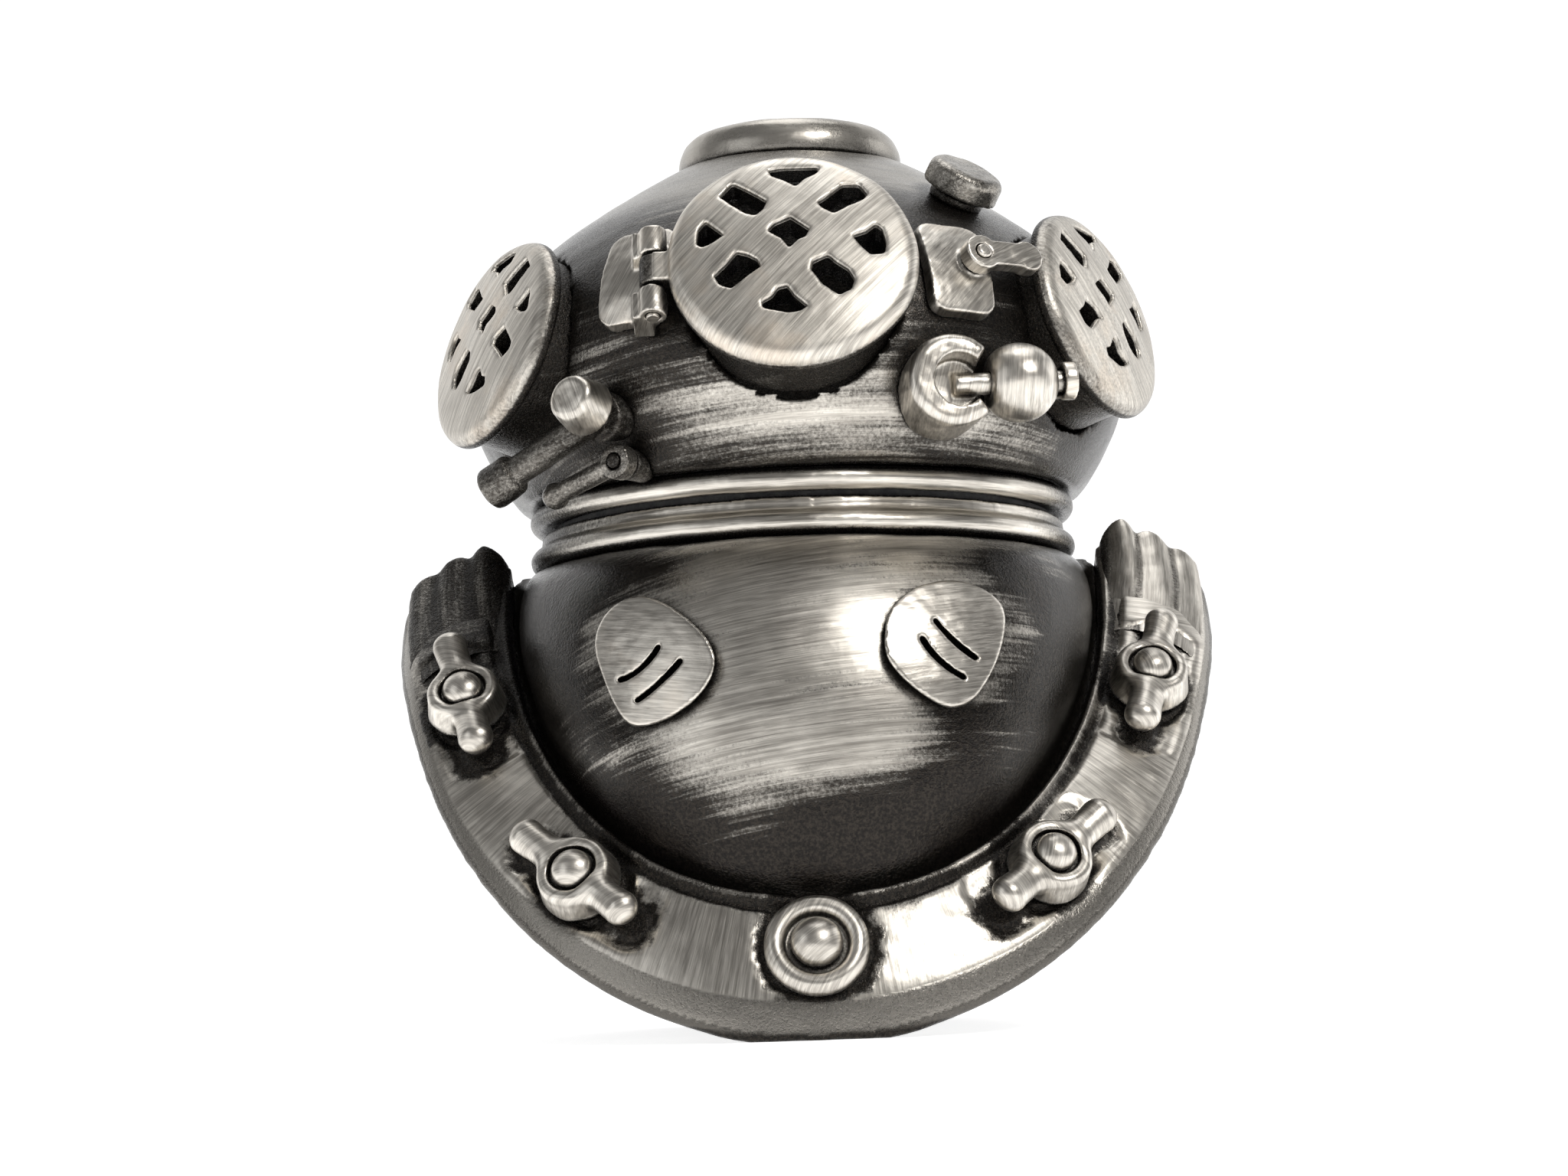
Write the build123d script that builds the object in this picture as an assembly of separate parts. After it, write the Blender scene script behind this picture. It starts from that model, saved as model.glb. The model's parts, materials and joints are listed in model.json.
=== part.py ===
from build123d import *
import math
import os

os.makedirs("parts", exist_ok=True)

# Diver's-helmet bubbling ornament, in millimetres.
# Front faces -Y, up is +Z, origin at the middle of the base, on the surface it stands on.

# ---------------------------------------------------------------- driving dimensions
COLLAR_HALF_W = 39.5      # half width over the collar's rim
COLLAR_HALF_D = 38.0      # half depth over the collar's rim
COLLAR_EDGE = 3.7         # height of the rim's outer wall
BRAIL_T = 1.6             # thickness of the brail over the collar
SHELL_T = 1.4             # thickness of the copper collar under the brail
NECK_R = 25.4             # radius of the neck, at the middle of its beads
BEAD_R = 1.1              # radius of each neck bead
Z_NECK = 44.4             # where the breastplate ends and its neck ring starts
Z_BEAD_LOW = 45.6
Z_BEAD_UP = 49.5
PORT_FRONT_R = 11.2
PORT_SIDE_R = 10.2
PORT_TOP_R = 11.0
LATTICE_R = 8.3           # radius inside which the guard is pierced
H_TOTAL = 87.2
STUD_R = 1.25
RUN = 0.06                # radial clearance of a running fit
GAP = 0.3                 # clearance between bodies that turn past each other
KEEL_W = 14.0
PIPE_R = 2.5
PIPE_BORE = 1.55
INLET_Z = 24.0
INLET_R = 2.2
STONE_R = 6.0

parts = {}


def save(name, shape):
    solids = shape.solids()
    shape = solids[0] if len(solids) == 1 else Compound(children=list(solids))
    parts[name] = shape
    export_step(shape, "parts/%s.step" % name)


def biggest(shape):
    return max(shape.solids(), key=lambda s: s.volume)


# ---------------------------------------------------------------- collar curves
def outer_curve(t):
    s, c = math.sin(t), math.cos(t)
    c = max(c, 0.0)
    k = max(0.0, (math.degrees(abs(t)) - 70.0) / 20.0)
    k = k * k * (3 - 2 * k)
    return (COLLAR_HALF_W * s, -COLLAR_HALF_D * c, 43.7 - 44.2 * c ** 0.95 - 3.6 * k)


def inner_curve(t):
    s, c = math.sin(t), math.cos(t)
    c = max(c, 0.0)
    return (math.copysign(28.6 * abs(s) ** 0.92, s), -34.0 * c, 45.5 - 33.3 * c ** 0.93)


def at_azimuth(curve, az):
    # radius and height of a collar curve at a plan azimuth, 0 at the front
    if abs(abs(az) - 90.0) < 1e-6:
        x, y, z = curve(math.copysign(math.pi / 2, az))
        return abs(x), z
    lo, hi = -math.pi / 2, math.pi / 2
    for _ in range(60):
        mid = (lo + hi) / 2
        x, y, z = curve(mid)
        if math.degrees(math.atan2(x, -y)) < az:
            lo = mid
        else:
            hi = mid
    x, y, z = curve((lo + hi) / 2)
    return math.hypot(x, y), z


def section(az):
    # the points of one upright section through the collar and the breastplate
    ra, za = at_azimuth(inner_curve, az)
    rc, zc = at_azimuth(outer_curve, az)
    side = math.sin(math.radians(abs(az))) ** 2
    rb = rc - (0.2 + 0.7 * side) * (1 if side > 0.3 else 1)
    zb = zc + COLLAR_EDGE - 0.9 * side
    tr, tz = rb - ra, zb - za
    length = math.hypot(tr, tz)
    tr, tz = tr / length, tz / length
    nr, nz = -tz, tr
    if nr < 0 and nz < 0:
        nr, nz = -nr, -nz
    bulge = 0.35 + 1.2 * side ** 2

    def loc(t, n):
        return (ra + tr * t + nr * n, za + tz * t + nz * n)

    A = loc(0, 0)
    M = loc(length * 0.5, bulge)
    B = (rb, zb)
    C = (rc, zc)
    wall = 2.2
    D = (rc - wall, zc)
    E = loc(length - 2.4, -BRAIL_T)
    ME = loc(length * 0.45, bulge - BRAIL_T)
    F = loc(0, -BRAIL_T)
    c = 0.05
    F2 = loc(-0.05, -BRAIL_T - c)
    M2 = loc(length * 0.45, bulge - BRAIL_T - c)
    E2 = loc(length - 2.45, -BRAIL_T - c)
    E3 = loc(length - 2.6, -BRAIL_T - c - SHELL_T)
    M3 = loc(length * 0.45, bulge - BRAIL_T - c - SHELL_T)
    P1 = loc(-0.9, -1.0)
    G = loc(-0.4, -BRAIL_T - SHELL_T - 0.2)
    P0 = (NECK_R, Z_NECK)
    N1 = (NECK_R - 1.95, Z_NECK)
    N2 = (NECK_R - 1.95, Z_NECK - 1.6)
    u = min(1.0, max(0.0, (P0[1] - P1[1]) / 32.0))
    C1 = (P0[0] + 8.5 * u + 0.5, P0[1] - 0.5 * u + 0.1 * (1 - u))
    C2 = (P1[0] + 6.3 * u - 0.4 * (1 - u), P1[1] + 11.0 * u)
    CI1 = (C1[0] - 1.6, C1[1] - 1.6)
    CI2 = (C2[0] - 1.9, C2[1] - 0.6 * u - 1.2 * (1 - u))
    return locals()


def p3(az, rz):
    a = math.radians(az)
    return (rz[0] * math.sin(a), -rz[0] * math.cos(a), rz[1])


def bez(az, *pts):
    return Edge.make_bezier(*[Vector(*p3(az, p)) for p in pts])


def line(az, p, q):
    return Edge.make_line(Vector(*p3(az, p)), Vector(*p3(az, q)))


def arc(az, p, m, q):
    # a shallow crown, as a quadratic curve through m
    k = (2 * m[0] - (p[0] + q[0]) / 2, 2 * m[1] - (p[1] + q[1]) / 2)
    return Edge.make_bezier(*[Vector(*p3(az, w)) for w in (p, k, q)])


AZ = list(range(-90, 91, 10))


def brail_wire(az):
    s = section(az)
    return Wire([arc(az, s["A"], s["M"], s["B"]), line(az, s["B"], s["C"]), line(az, s["C"], s["D"]),
                 line(az, s["D"], s["E"]), arc(az, s["E"], s["ME"], s["F"]), line(az, s["F"], s["A"])])


def shell_wire(az):
    s = section(az)
    return Wire([bez(az, s["P0"], s["C1"], s["C2"], s["P1"]), line(az, s["P1"], s["F2"]),
                 arc(az, s["F2"], s["M2"], s["E2"]), line(az, s["E2"], s["E3"]),
                 arc(az, s["E3"], s["M3"], s["G"]), bez(az, s["G"], s["CI2"], s["CI1"], s["N2"]),
                 line(az, s["N2"], s["N1"]), line(az, s["N1"], s["P0"])])


def dome_wire(az, out=0.0):
    # the breastplate's dome filled to the axis, for cutting what sits on it
    s = section(az)
    axis0 = (0.0, s["P1"][1] - 2.0)
    return Wire([bez(az, (s["P0"][0] + out, s["P0"][1]), (s["C1"][0] + out, s["C1"][1]), (s["C2"][0] + out, s["C2"][1]), (s["P1"][0] + out, s["P1"][1])),
                 line(az, (s["P1"][0] + out, s["P1"][1]), (8.0, s["P1"][1])),
                 line(az, (8.0, s["P1"][1]), (8.0, s["P0"][1])),
                 line(az, (8.0, s["P0"][1]), (s["P0"][0] + out, s["P0"][1]))])


def face_frame(az, frac=0.5):
    # a plane on the collar's face: origin, normal out of the face, x along the rim
    def pt(a, f):
        s = section(a)
        A, M, B = s["A"], s["M"], s["B"]
        k = (2 * M[0] - (A[0] + B[0]) / 2, 2 * M[1] - (A[1] + B[1]) / 2)
        r = (1 - f) ** 2 * A[0] + 2 * f * (1 - f) * k[0] + f * f * B[0]
        z = (1 - f) ** 2 * A[1] + 2 * f * (1 - f) * k[1] + f * f * B[1]
        return Vector(*p3(a, (r, z)))
    o = pt(az, frac)
    du = pt(az + 1.0, frac) - pt(az - 1.0, frac)
    dv = pt(az, frac + 0.02) - pt(az, frac - 0.02)
    n = dv.cross(du).normalized()
    if n.Z < 0:
        n = -n
    return Plane(origin=o, x_dir=du.normalized(), z_dir=n)


def rear(shape):
    return shape.mirror(Plane.XZ)


def mirror_plane(pl):
    o, x, n = pl.origin, pl.x_dir, pl.z_dir
    return Plane(origin=(o.X, -o.Y, o.Z), x_dir=(x.X, -x.Y, x.Z), z_dir=(n.X, -n.Y, n.Z))


floor_cut = Pos(0, 0, -10) * Box(120, 120, 20)

# ---------------------------------------------------------------- collar frames for the studs
STUD_AZ = [-66, -34.5, 0, 34.5, 66]
STUD_FRAC = {-66: 0.5, -34.5: 0.56, 0: 0.5, 34.5: 0.56, 66: 0.5}
NAMES = {-66: "upper_left", -34.5: "lower_left", 0: "centre", 34.5: "lower_right", 66: "upper_right"}
frames = []
for az in STUD_AZ:
    pl = face_frame(az, STUD_FRAC[az])
    frames.append(("front_" + NAMES[az], az, pl))
for az in STUD_AZ:
    pl = mirror_plane(face_frame(az, STUD_FRAC[az]))
    frames.append(("rear_" + NAMES[az], az, pl))

# ---------------------------------------------------------------- breastplate shell and brails
brail_front = Solid.make_loft([brail_wire(a) for a in AZ])
brail_rear = rear(brail_front)
shell_half = Solid.make_loft([shell_wire(a) for a in AZ])
dome_half = Solid.make_loft([dome_wire(a) for a in AZ])

SEAT_R = 4.7
SEAT_DEPTH = 0.55
seat_tools = []
hole_tools = []
for name, az, pl in frames:
    seat = pl.offset(-SEAT_DEPTH)
    seat_tools.append(seat * (Pos(0, 0, 5) * Cylinder(SEAT_R, 10)))
    hole_tools.append(seat * (Pos(0, 0, -3) * Cylinder(STUD_R + 0.03, 12)))

bf = brail_front - floor_cut
br = brail_rear - floor_cut
for (name, az, pl), st, ht in zip(frames, seat_tools, hole_tools):
    if name.startswith("front"):
        bf = bf - st - ht
    else:
        br = br - st - ht
save("front_brail", biggest(bf))
save("rear_brail", biggest(br))

shell = shell_half + rear(shell_half)
shell = shell - floor_cut
for ht in hole_tools:
    shell = shell - ht
shell = shell - (Pos(0, 34, INLET_Z) * Rot(90, 0, 0) * Cylinder(PIPE_R + 0.03, 12))
save("breastplate_shell", biggest(shell))

# ---------------------------------------------------------------- studs and nuts
studs = []
for name, az, pl in frames:
    seat = pl.offset(-SEAT_DEPTH)
    centre = az == 0
    top = 3.1 if not centre else 2.2
    head = 2.05 if not centre else 2.5
    s = Pos(0, 0, (top + 0.3 - 2.9) / 2) * Cylinder(STUD_R, top + 0.3 + 2.9)
    ball_r = (head ** 2 + 1.0 ** 2) / 2.0
    cap = (Pos(0, 0, top + 0.2 + 1.0 - ball_r) * Sphere(ball_r)) & (Pos(0, 0, top + 0.2 + 1.5) * Cylinder(head, 3.0))
    s = s + cap
    studs.append(biggest(seat * s))
save("collar_studs", Compound(children=studs))

for name, az, pl in frames:
    seat = pl.offset(-SEAT_DEPTH)
    if az == 0:
        n = Pos(0, 0, 0.06) * Cone(4.45, 3.7, 2.0, align=(Align.CENTER, Align.CENTER, Align.MIN))
        n = fillet(n.edges().sort_by(Axis.Z)[-1:], 0.6)
        n = n - Cylinder(STUD_R + RUN, 12)
        save(name.replace("centre", "round_nut"), biggest(seat * n))
    else:
        n = Pos(0, 0, 0.06) * Cone(3.7, 3.1, 2.9, align=(Align.CENTER, Align.CENTER, Align.MIN))
        n = fillet(n.edges().sort_by(Axis.Z)[-1:], 0.6)
        for sgn in (-1, 1):
            n = n + Pos(sgn * 4.6, 0, 2.15) * Rot(0, 90, 0) * Cylinder(1.35, 4.2)
            n = n + Pos(sgn * 6.6, 0, 2.15) * Sphere(1.55)
        n = n - Cylinder(STUD_R + RUN, 14)
        save(name + "_wing_nut", biggest(seat * n))

# ---------------------------------------------------------------- shoulder straps
def strap_wire(az):
    # three rounded ribs side by side, standing on the brail's crowned face and fading down the shoulder
    s = section(az)
    ra, za, tr, tz, nr, nz, length, bulge = (s[k] for k in ("ra", "za", "tr", "tz", "nr", "nz", "length", "bulge"))
    k = (abs(az) - 74.0) / 16.0
    k = math.sin(math.pi / 2 * k) ** 0.9

    def at(u, n):
        return (ra + tr * length * u + nr * n, za + tz * length * u + nz * n)

    def on(u, n90):
        # n90 is the height over the chord at the ridge
        face, face90 = bulge * 4 * u * (1 - u), 1.55 * 4 * u * (1 - u)
        return at(u, face + 0.12 + (n90 - face90 - 0.12) * k)

    u = (0.015, 0.325, 0.672, 0.972)
    p = [on(u[0], 1.5), on(u[1], 2.35), on(u[2], 1.75), on(u[3], 0.75)]
    m = [on((u[0] + u[1]) / 2, 3.55), on((u[1] + u[2]) / 2, 2.95), on((u[2] + u[3]) / 2, 1.85)]
    return Wire([line(az, at(u[0], -0.35), p[0]), arc(az, p[0], m[0], p[1]), arc(az, p[1], m[1], p[2]),
                 arc(az, p[2], m[2], p[3]), line(az, p[3], at(u[3], -0.35)), line(az, at(u[3], -0.35), at(u[0], -0.35))])


for side, sgn in (("left", -1), ("right", 1)):
    half = Solid.make_loft([strap_wire(sgn * a) for a in (74, 78, 82, 86, 90)])
    strap = half + rear(half)
    strap = strap - brail_front - brail_rear - (dome_half + rear(dome_half))
    save(side + "_shoulder_strap", biggest(strap))

# ---------------------------------------------------------------- lanyard pads
pad_l = [(-18.6, 34.6), (-18.0, 37.0), (-16.6, 38.4), (-14.4, 38.9), (-12.2, 38.0), (-10.3, 36.5), (-8.8, 34.8), (-7.9, 32.6),
         (-8.7, 30.4), (-10.6, 28.6), (-13.2, 27.4), (-15.3, 27.4), (-16.7, 29.0), (-17.8, 31.6)]
pad_r = [(6.8, 34.8), (7.6, 36.9), (9.2, 38.3), (11.4, 39.1), (13.8, 39.2), (16.0, 38.4), (17.4, 36.9), (17.5, 35.0),
         (16.7, 32.4), (15.4, 29.9), (13.8, 28.3), (12.0, 27.9), (10.0, 28.9), (7.9, 30.7), (6.8, 32.7)]
slits = {"left": [((-16.5, 31.4), (-14.4, 32.3), (-12.7, 34.3)), ((-15.0, 29.4), (-12.9, 30.8), (-10.8, 32.8))],
         "right": [((11.1, 35.7), (12.7, 33.8), (14.8, 32.1)), ((9.9, 34.1), (11.5, 31.9), (13.7, 30.4))]}
SLIT_W = 0.45


def slit_face(p, q, r):
    # a narrow bent slot of constant width along the curve through three points
    k = (2 * q[0] - (p[0] + r[0]) / 2, 2 * q[1] - (p[1] + r[1]) / 2)
    one, two = [], []
    for i in range(7):
        t = i / 6.0
        x = (1 - t) ** 2 * p[0] + 2 * t * (1 - t) * k[0] + t * t * r[0]
        z = (1 - t) ** 2 * p[1] + 2 * t * (1 - t) * k[1] + t * t * r[1]
        dx = 2 * (1 - t) * (k[0] - p[0]) + 2 * t * (r[0] - k[0])
        dz = 2 * (1 - t) * (k[1] - p[1]) + 2 * t * (r[1] - k[1])
        d = math.hypot(dx, dz)
        one.append((x - dz / d * SLIT_W / 2, z + dx / d * SLIT_W / 2))
        two.append((x + dz / d * SLIT_W / 2, z - dx / d * SLIT_W / 2))
    return make_face(Polyline(*(one + two[::-1]), close=True))


dome_gap = Solid.make_loft([dome_wire(a, 0.05) for a in AZ])
skin = Solid.make_loft([dome_wire(a, 1.3) for a in AZ])
front = Plane(origin=(0, -22, 0), x_dir=(1, 0, 0), z_dir=(0, -1, 0))
for side, pts, sgn in (("left", pad_l, 1), ("right", pad_r, -1)):
    # both are cut on the left of the dome; the right one is then mirrored across
    pad = extrude(front * make_face(Spline(*[(sgn * x, z) for x, z in pts], periodic=True)), 15.2)
    pad = pad & skin
    pad = pad - dome_gap
    for three in slits[side]:
        pad = pad - extrude(front * slit_face(*[(sgn * x, z) for x, z in three]), 18)
    pad = biggest(pad)
    if sgn < 0:
        pad = pad.mirror(Plane.YZ)
    save(side + "_lanyard_pad", pad)

# ---------------------------------------------------------------- neck: ring, gasket, bayonet
def rev(pts):
    return revolve(Plane.XZ * make_face(Polyline(*pts, close=True)), Axis.Z)


def wedge(a0, a1, r, z0, z1):
    pts = [(0, 0)] + [(r * math.cos(math.radians(a)), r * math.sin(math.radians(a)))
                      for a in [a0 + (a1 - a0) * i / 6.0 for i in range(7)]]
    return Pos(0, 0, z0) * extrude(make_face(Polyline(*pts, close=True)), z1 - z0)


LUG_IN = 21.7
ring_low = rev([(NECK_R - 1.95, Z_NECK + 0.02), (NECK_R, Z_NECK + 0.02), (NECK_R, 48.05), (NECK_R - 1.95, 48.05)])
ring_low = ring_low + Pos(0, 0, Z_BEAD_LOW) * Torus(NECK_R, BEAD_R)
ring_low = ring_low - Pos(0, 0, 43.4) * Cylinder(40, 2.04)
lip = rev([(LUG_IN, 46.6), (NECK_R - 1.5, 46.6), (NECK_R - 1.5, 48.05), (LUG_IN, 48.05)])
lips = None
for k in range(4):
    w = lip & wedge(k * 90 - 21, k * 90 + 21, 30, 46, 49)
    lips = w if lips is None else lips + w
save("breastplate_neck_ring", biggest(ring_low + lips))
save("neck_gasket", rev([(LUG_IN + 0.2, 48.07), (NECK_R - 1.25, 48.07), (NECK_R - 1.25, 48.7), (LUG_IN + 0.2, 48.7)]))

spigot = rev([(19.6, 44.3), (21.35, 44.3), (21.35, 49.0), (26.0, 49.0), (26.0, 50.3), (19.6, 50.3)])
spigot = spigot + Pos(0, 0, Z_BEAD_UP) * Torus(NECK_R, BEAD_R)
lug = rev([(21.0, 44.3), (23.1, 44.3), (23.1, 46.3), (21.0, 46.3)])
for k in range(4):
    spigot = spigot + (lug & wedge(k * 90 - 19, k * 90 + 19, 30, 44, 47))
save("bonnet_neck_ring", biggest(spigot))

# ---------------------------------------------------------------- bonnet shell
OUT = [(26.9, 50.62), (27.7, 51.4), (28.6, 52.7), (30.4, 55.9), (31.7, 59.2), (32.1, 62.5), (31.2, 67.0), (27.6, 72.3),
       (21.6, 77.3), (16.2, 80.9), (12.0, 83.4)]
INN = [(25.0, 50.62), (25.9, 52.0), (26.9, 53.6), (28.6, 56.6), (29.8, 59.8), (30.2, 62.5), (29.3, 66.2), (25.9, 71.2),
       (20.4, 75.7), (15.2, 79.1), (9.0, 81.8)]


def offset_pts(pts, d):
    res = []
    for i, (r, z) in enumerate(pts):
        a = pts[max(i - 1, 0)]
        b = pts[min(i + 1, len(pts) - 1)]
        tr, tz = b[0] - a[0], b[1] - a[1]
        m = math.hypot(tr, tz)
        res.append((r + tz / m * d, z - tr / m * d))
    return res


def revolved(edges):
    return revolve(make_face(Plane.XZ * Wire(edges)), Axis.Z)


def shell_rev(outp, innp):
    return revolved([Spline(*outp), Line(outp[-1], (innp[-1][0], outp[-1][1])), Line((innp[-1][0], outp[-1][1]), innp[-1]),
                     Spline(*innp), Line(innp[0], outp[0])])


def filled(outp):
    return revolved([Spline(*outp), Line(outp[-1], (0, outp[-1][1])), Line((0, outp[-1][1]), (0, outp[0][1])),
                     Line((0, outp[0][1]), outp[0])])


bonnet = shell_rev(OUT, INN)
bonnet_solid = filled(OUT)
skin_tab = filled(offset_pts(OUT, 1.4)) - bonnet_solid


def on_dome(az, z, el, lift=0.0):
    # a plane on the bonnet: x to the right round the dome, y up, z out of it
    r = None
    for i in range(len(OUT) - 1):
        if OUT[i][1] <= z <= OUT[i + 1][1]:
            k = (z - OUT[i][1]) / (OUT[i + 1][1] - OUT[i][1])
            r = OUT[i][0] + k * (OUT[i + 1][0] - OUT[i][0])
    a, e = math.radians(az), math.radians(el)
    n = Vector(math.sin(a) * math.cos(e), -math.cos(a) * math.cos(e), math.sin(e))
    o = Vector(r * math.sin(a), -r * math.cos(a), z) + n * lift
    return Plane(origin=o, x_dir=(math.cos(a), math.sin(a), 0), z_dir=n)


def lattice(scale, turn, shift):
    # nine openings on a grid turned by 45 degrees, clipped by a circle
    pitch, w = 5.15 * scale, 2.95 * scale
    clip = Circle(LATTICE_R * scale)
    cells = []
    for i in (-1, 0, 1):
        for j in (-1, 0, 1):
            cells.append(Rot(0, 0, 45 - turn) * (Pos(i * pitch, j * pitch) * Rectangle(w, w)))
    sk = cells[0]
    for c in cells[1:]:
        sk = sk + c
    return Pos(0, shift) * (sk & clip)


def guard(r, thick, crown, w0, scale, turn, shift):
    # a crowned disc with a rounded rim, pierced by the lattice
    z1 = w0 + thick
    prof = Wire([Edge.make_line((0, 0, w0), (r - 0.3, 0, w0)), Edge.make_line((r - 0.3, 0, w0), (r, 0, w0 + 0.3)),
                 Edge.make_line((r, 0, w0 + 0.3), (r, 0, z1 - 0.9)),
                 Edge.make_three_point_arc((r, 0, z1 - 0.9), (r - 0.28, 0, z1 - 0.24), (r - 0.95, 0, z1 + 0.05)),
                 Edge.make_three_point_arc((r - 0.95, 0, z1 + 0.05), (r * 0.5, 0, z1 + crown * 0.75), (0, 0, z1 + crown)),
                 Edge.make_line((0, 0, z1 + crown), (0, 0, w0))])
    disc = revolve(make_face(prof), Axis.Z)
    holes = Pos(0, 0, w0 - 1) * extrude(lattice(scale, turn, shift), thick + crown + 3)
    return disc - holes


def tube(r1, r0, w0, w1):
    return Pos(0, 0, w0) * (Cylinder(r1, w1 - w0, align=(Align.CENTER, Align.CENTER, Align.MIN))
                            - Cylinder(r0, w1 - w0, align=(Align.CENTER, Align.CENTER, Align.MIN)))


pf = on_dome(0, 67.3, 23)
pls = on_dome(-57, 63.9, 17)
prs = on_dome(58, 64.8, 15)
W0 = 0.6
bonnet = bonnet - pf * (Pos(0, 0, -3) * Cylinder(9.93, 14))
bonnet = bonnet - pls * (Pos(0, 0, -3) * Cylinder(9.23, 14))
bonnet = bonnet - prs * (Pos(0, 0, -3) * Cylinder(9.23, 14))
save("front_port_seat", biggest(pf * tube(9.9, 8.6, -4.6, 0.3)))
save("left_port_frame", biggest(pls * tube(9.2, 7.9, -4.6, 0.3)))
save("right_port_frame", biggest(prs * tube(9.2, 7.9, -4.6, 0.3)))
save("left_port_guard", biggest(pls * guard(PORT_SIDE_R, 1.7, 1.1, 0.33, 0.91, 6, 0.6)))
save("right_port_guard", biggest(prs * guard(PORT_SIDE_R, 1.7, 1.1, 0.33, 0.91, 6, 0.6)))

top_ring = rev([(7.4, 83.42), (PORT_TOP_R - 0.1, 83.42), (PORT_TOP_R, 84.2), (PORT_TOP_R, 85.2), (PORT_TOP_R - 0.5, 86.5),
                (PORT_TOP_R - 1.2, 87.1), (PORT_TOP_R - 1.8, H_TOTAL), (8.5, 86.9), (8.5, 85.4), (7.4, 85.4)])
save("top_port_ring", top_ring)
tg = Pos(0, 0, 85.42) * (Cylinder(8.45, 1.1, align=(Align.CENTER, Align.CENTER, Align.MIN)))
tg = tg - Pos(0, 0, 84) * extrude(lattice(0.82, 0, 0), 4)
save("top_port_guard", biggest(tg))

# ---------------------------------------------------------------- front port, its hinge and its latch
HU, HW, HR, PIN_R = -12.45, 0.2, 1.25, 0.6
port = guard(PORT_FRONT_R, 2.0, 1.3, W0, 1.0, 6, 1.0)
knuckle = Pos(HU, 0, HW) * Rot(90, 0, 0) * Cylinder(HR, 3.0)
lug_f = Pos((HU - 10.3) / 2, 0, 0.75) * Box(abs(HU + 10.3), 3.0, 1.9)
port = port + knuckle + lug_f - Pos(HU, 0, HW) * Rot(90, 0, 0) * Cylinder(PIN_R + RUN, 12)
save("front_port_guard", biggest(pf * port))

leaf_pl = on_dome(-26.5, 67.7, 19)
leaf_out = leaf_pl * (Rot(0, 0, 2) * extrude(fillet(Rectangle(6.6, 10.0).vertices(), 1.5), 8, both=True))
leaf = leaf_out & skin_tab
clear_box = pf * (Pos(HU + 2.2, 0, -1) * Box(5.2, 3.5, 10))
clear_box2 = pf * (Pos(HU, 0, HW) * Rot(90, 0, 0) * Cylinder(HR + 0.35, 3.5))
leaf = leaf - clear_box - clear_box2
fixed = None
for sgn in (-1, 1):
    k = Pos(HU, sgn * 3.2, HW) * Rot(90, 0, 0) * Cylinder(HR, 2.8)
    web = Pos(HU - 0.9, sgn * 3.2, -1.4) * Box(1.9, 2.8, 3.2)
    k = k + web
    fixed = k if fixed is None else fixed + k
leaf = leaf + (pf * fixed - bonnet_solid)
leaf = leaf - pf * (Pos(HU, 0, HW) * Rot(90, 0, 0) * Cylinder(PIN_R, 12))
leaf = leaf - pf * (Pos(0, 0, W0 + 1.5) * Cylinder(PORT_FRONT_R + 0.3, 4.2)) - pf * Cylinder(9.93, 14)
save("front_port_hinge_leaf", biggest(leaf))
save("front_port_hinge_pin", biggest(pf * (Pos(HU, 0, HW) * Rot(90, 0, 0) * Cylinder(PIN_R, 9.6))))

latch_pl = on_dome(27.5, 67.5, 19)
plate = (latch_pl * (Rot(0, 0, -3) * extrude(fillet(Rectangle(6.4, 9.6).vertices(), 1.5), 8, both=True))) & skin_tab
plate = plate - pf * (Pos(0, 0, W0 + 1.5) * Cylinder(PORT_FRONT_R + 0.3, 4.2)) - pf * Cylinder(9.93, 14)
dog_pl = on_dome(30.0, 67.7, 19)
plate = plate + ((dog_pl * (Pos(0, 0, 1.0) * Cylinder(1.5, 1.7))) - bonnet_solid)
plate = plate + (dog_pl * (Pos(0, 0, 2.35) * Cylinder(0.7, 2.9)))
plate = biggest(plate - bonnet_solid)
save("front_port_latch_plate", plate)
dog = Pos(2.4, 0, 2.15) * Box(4.8, 2.4, 1.5) + Pos(0, 0, 2.15) * Cylinder(1.7, 1.5) + Pos(4.8, 0, 2.15) * Cylinder(1.5, 1.5)
dog = dog - Cylinder(0.7 + RUN, 20)
dog = Pos(0, 0, 0.7) * dog
save("front_port_latch_dog", biggest(dog_pl * dog))

# ---------------------------------------------------------------- exhaust valve, upper right
pe = on_dome(43, 76.6, 52)
stem = (Pos(0, 0, -1.0) * Cylinder(2.6, 3.8)) + (Pos(0, 0, 1.2) * Cylinder(0.9, 2.4))
save("exhaust_valve_stem", biggest((pe * stem) - bonnet_solid))
cap = Pos(0, 0, 1.1) * Cylinder(3.6, 2.4, align=(Align.CENTER, Align.CENTER, Align.MIN))
cap = fillet(cap.edges().sort_by(Axis.Z)[-1:], 0.9)
cap = cap - Pos(0, 0, 0.9) * Cylinder(0.9 + RUN, 1.7, align=(Align.CENTER, Align.CENTER, Align.MIN))
save("exhaust_valve_cap", biggest(pe * cap))

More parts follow.
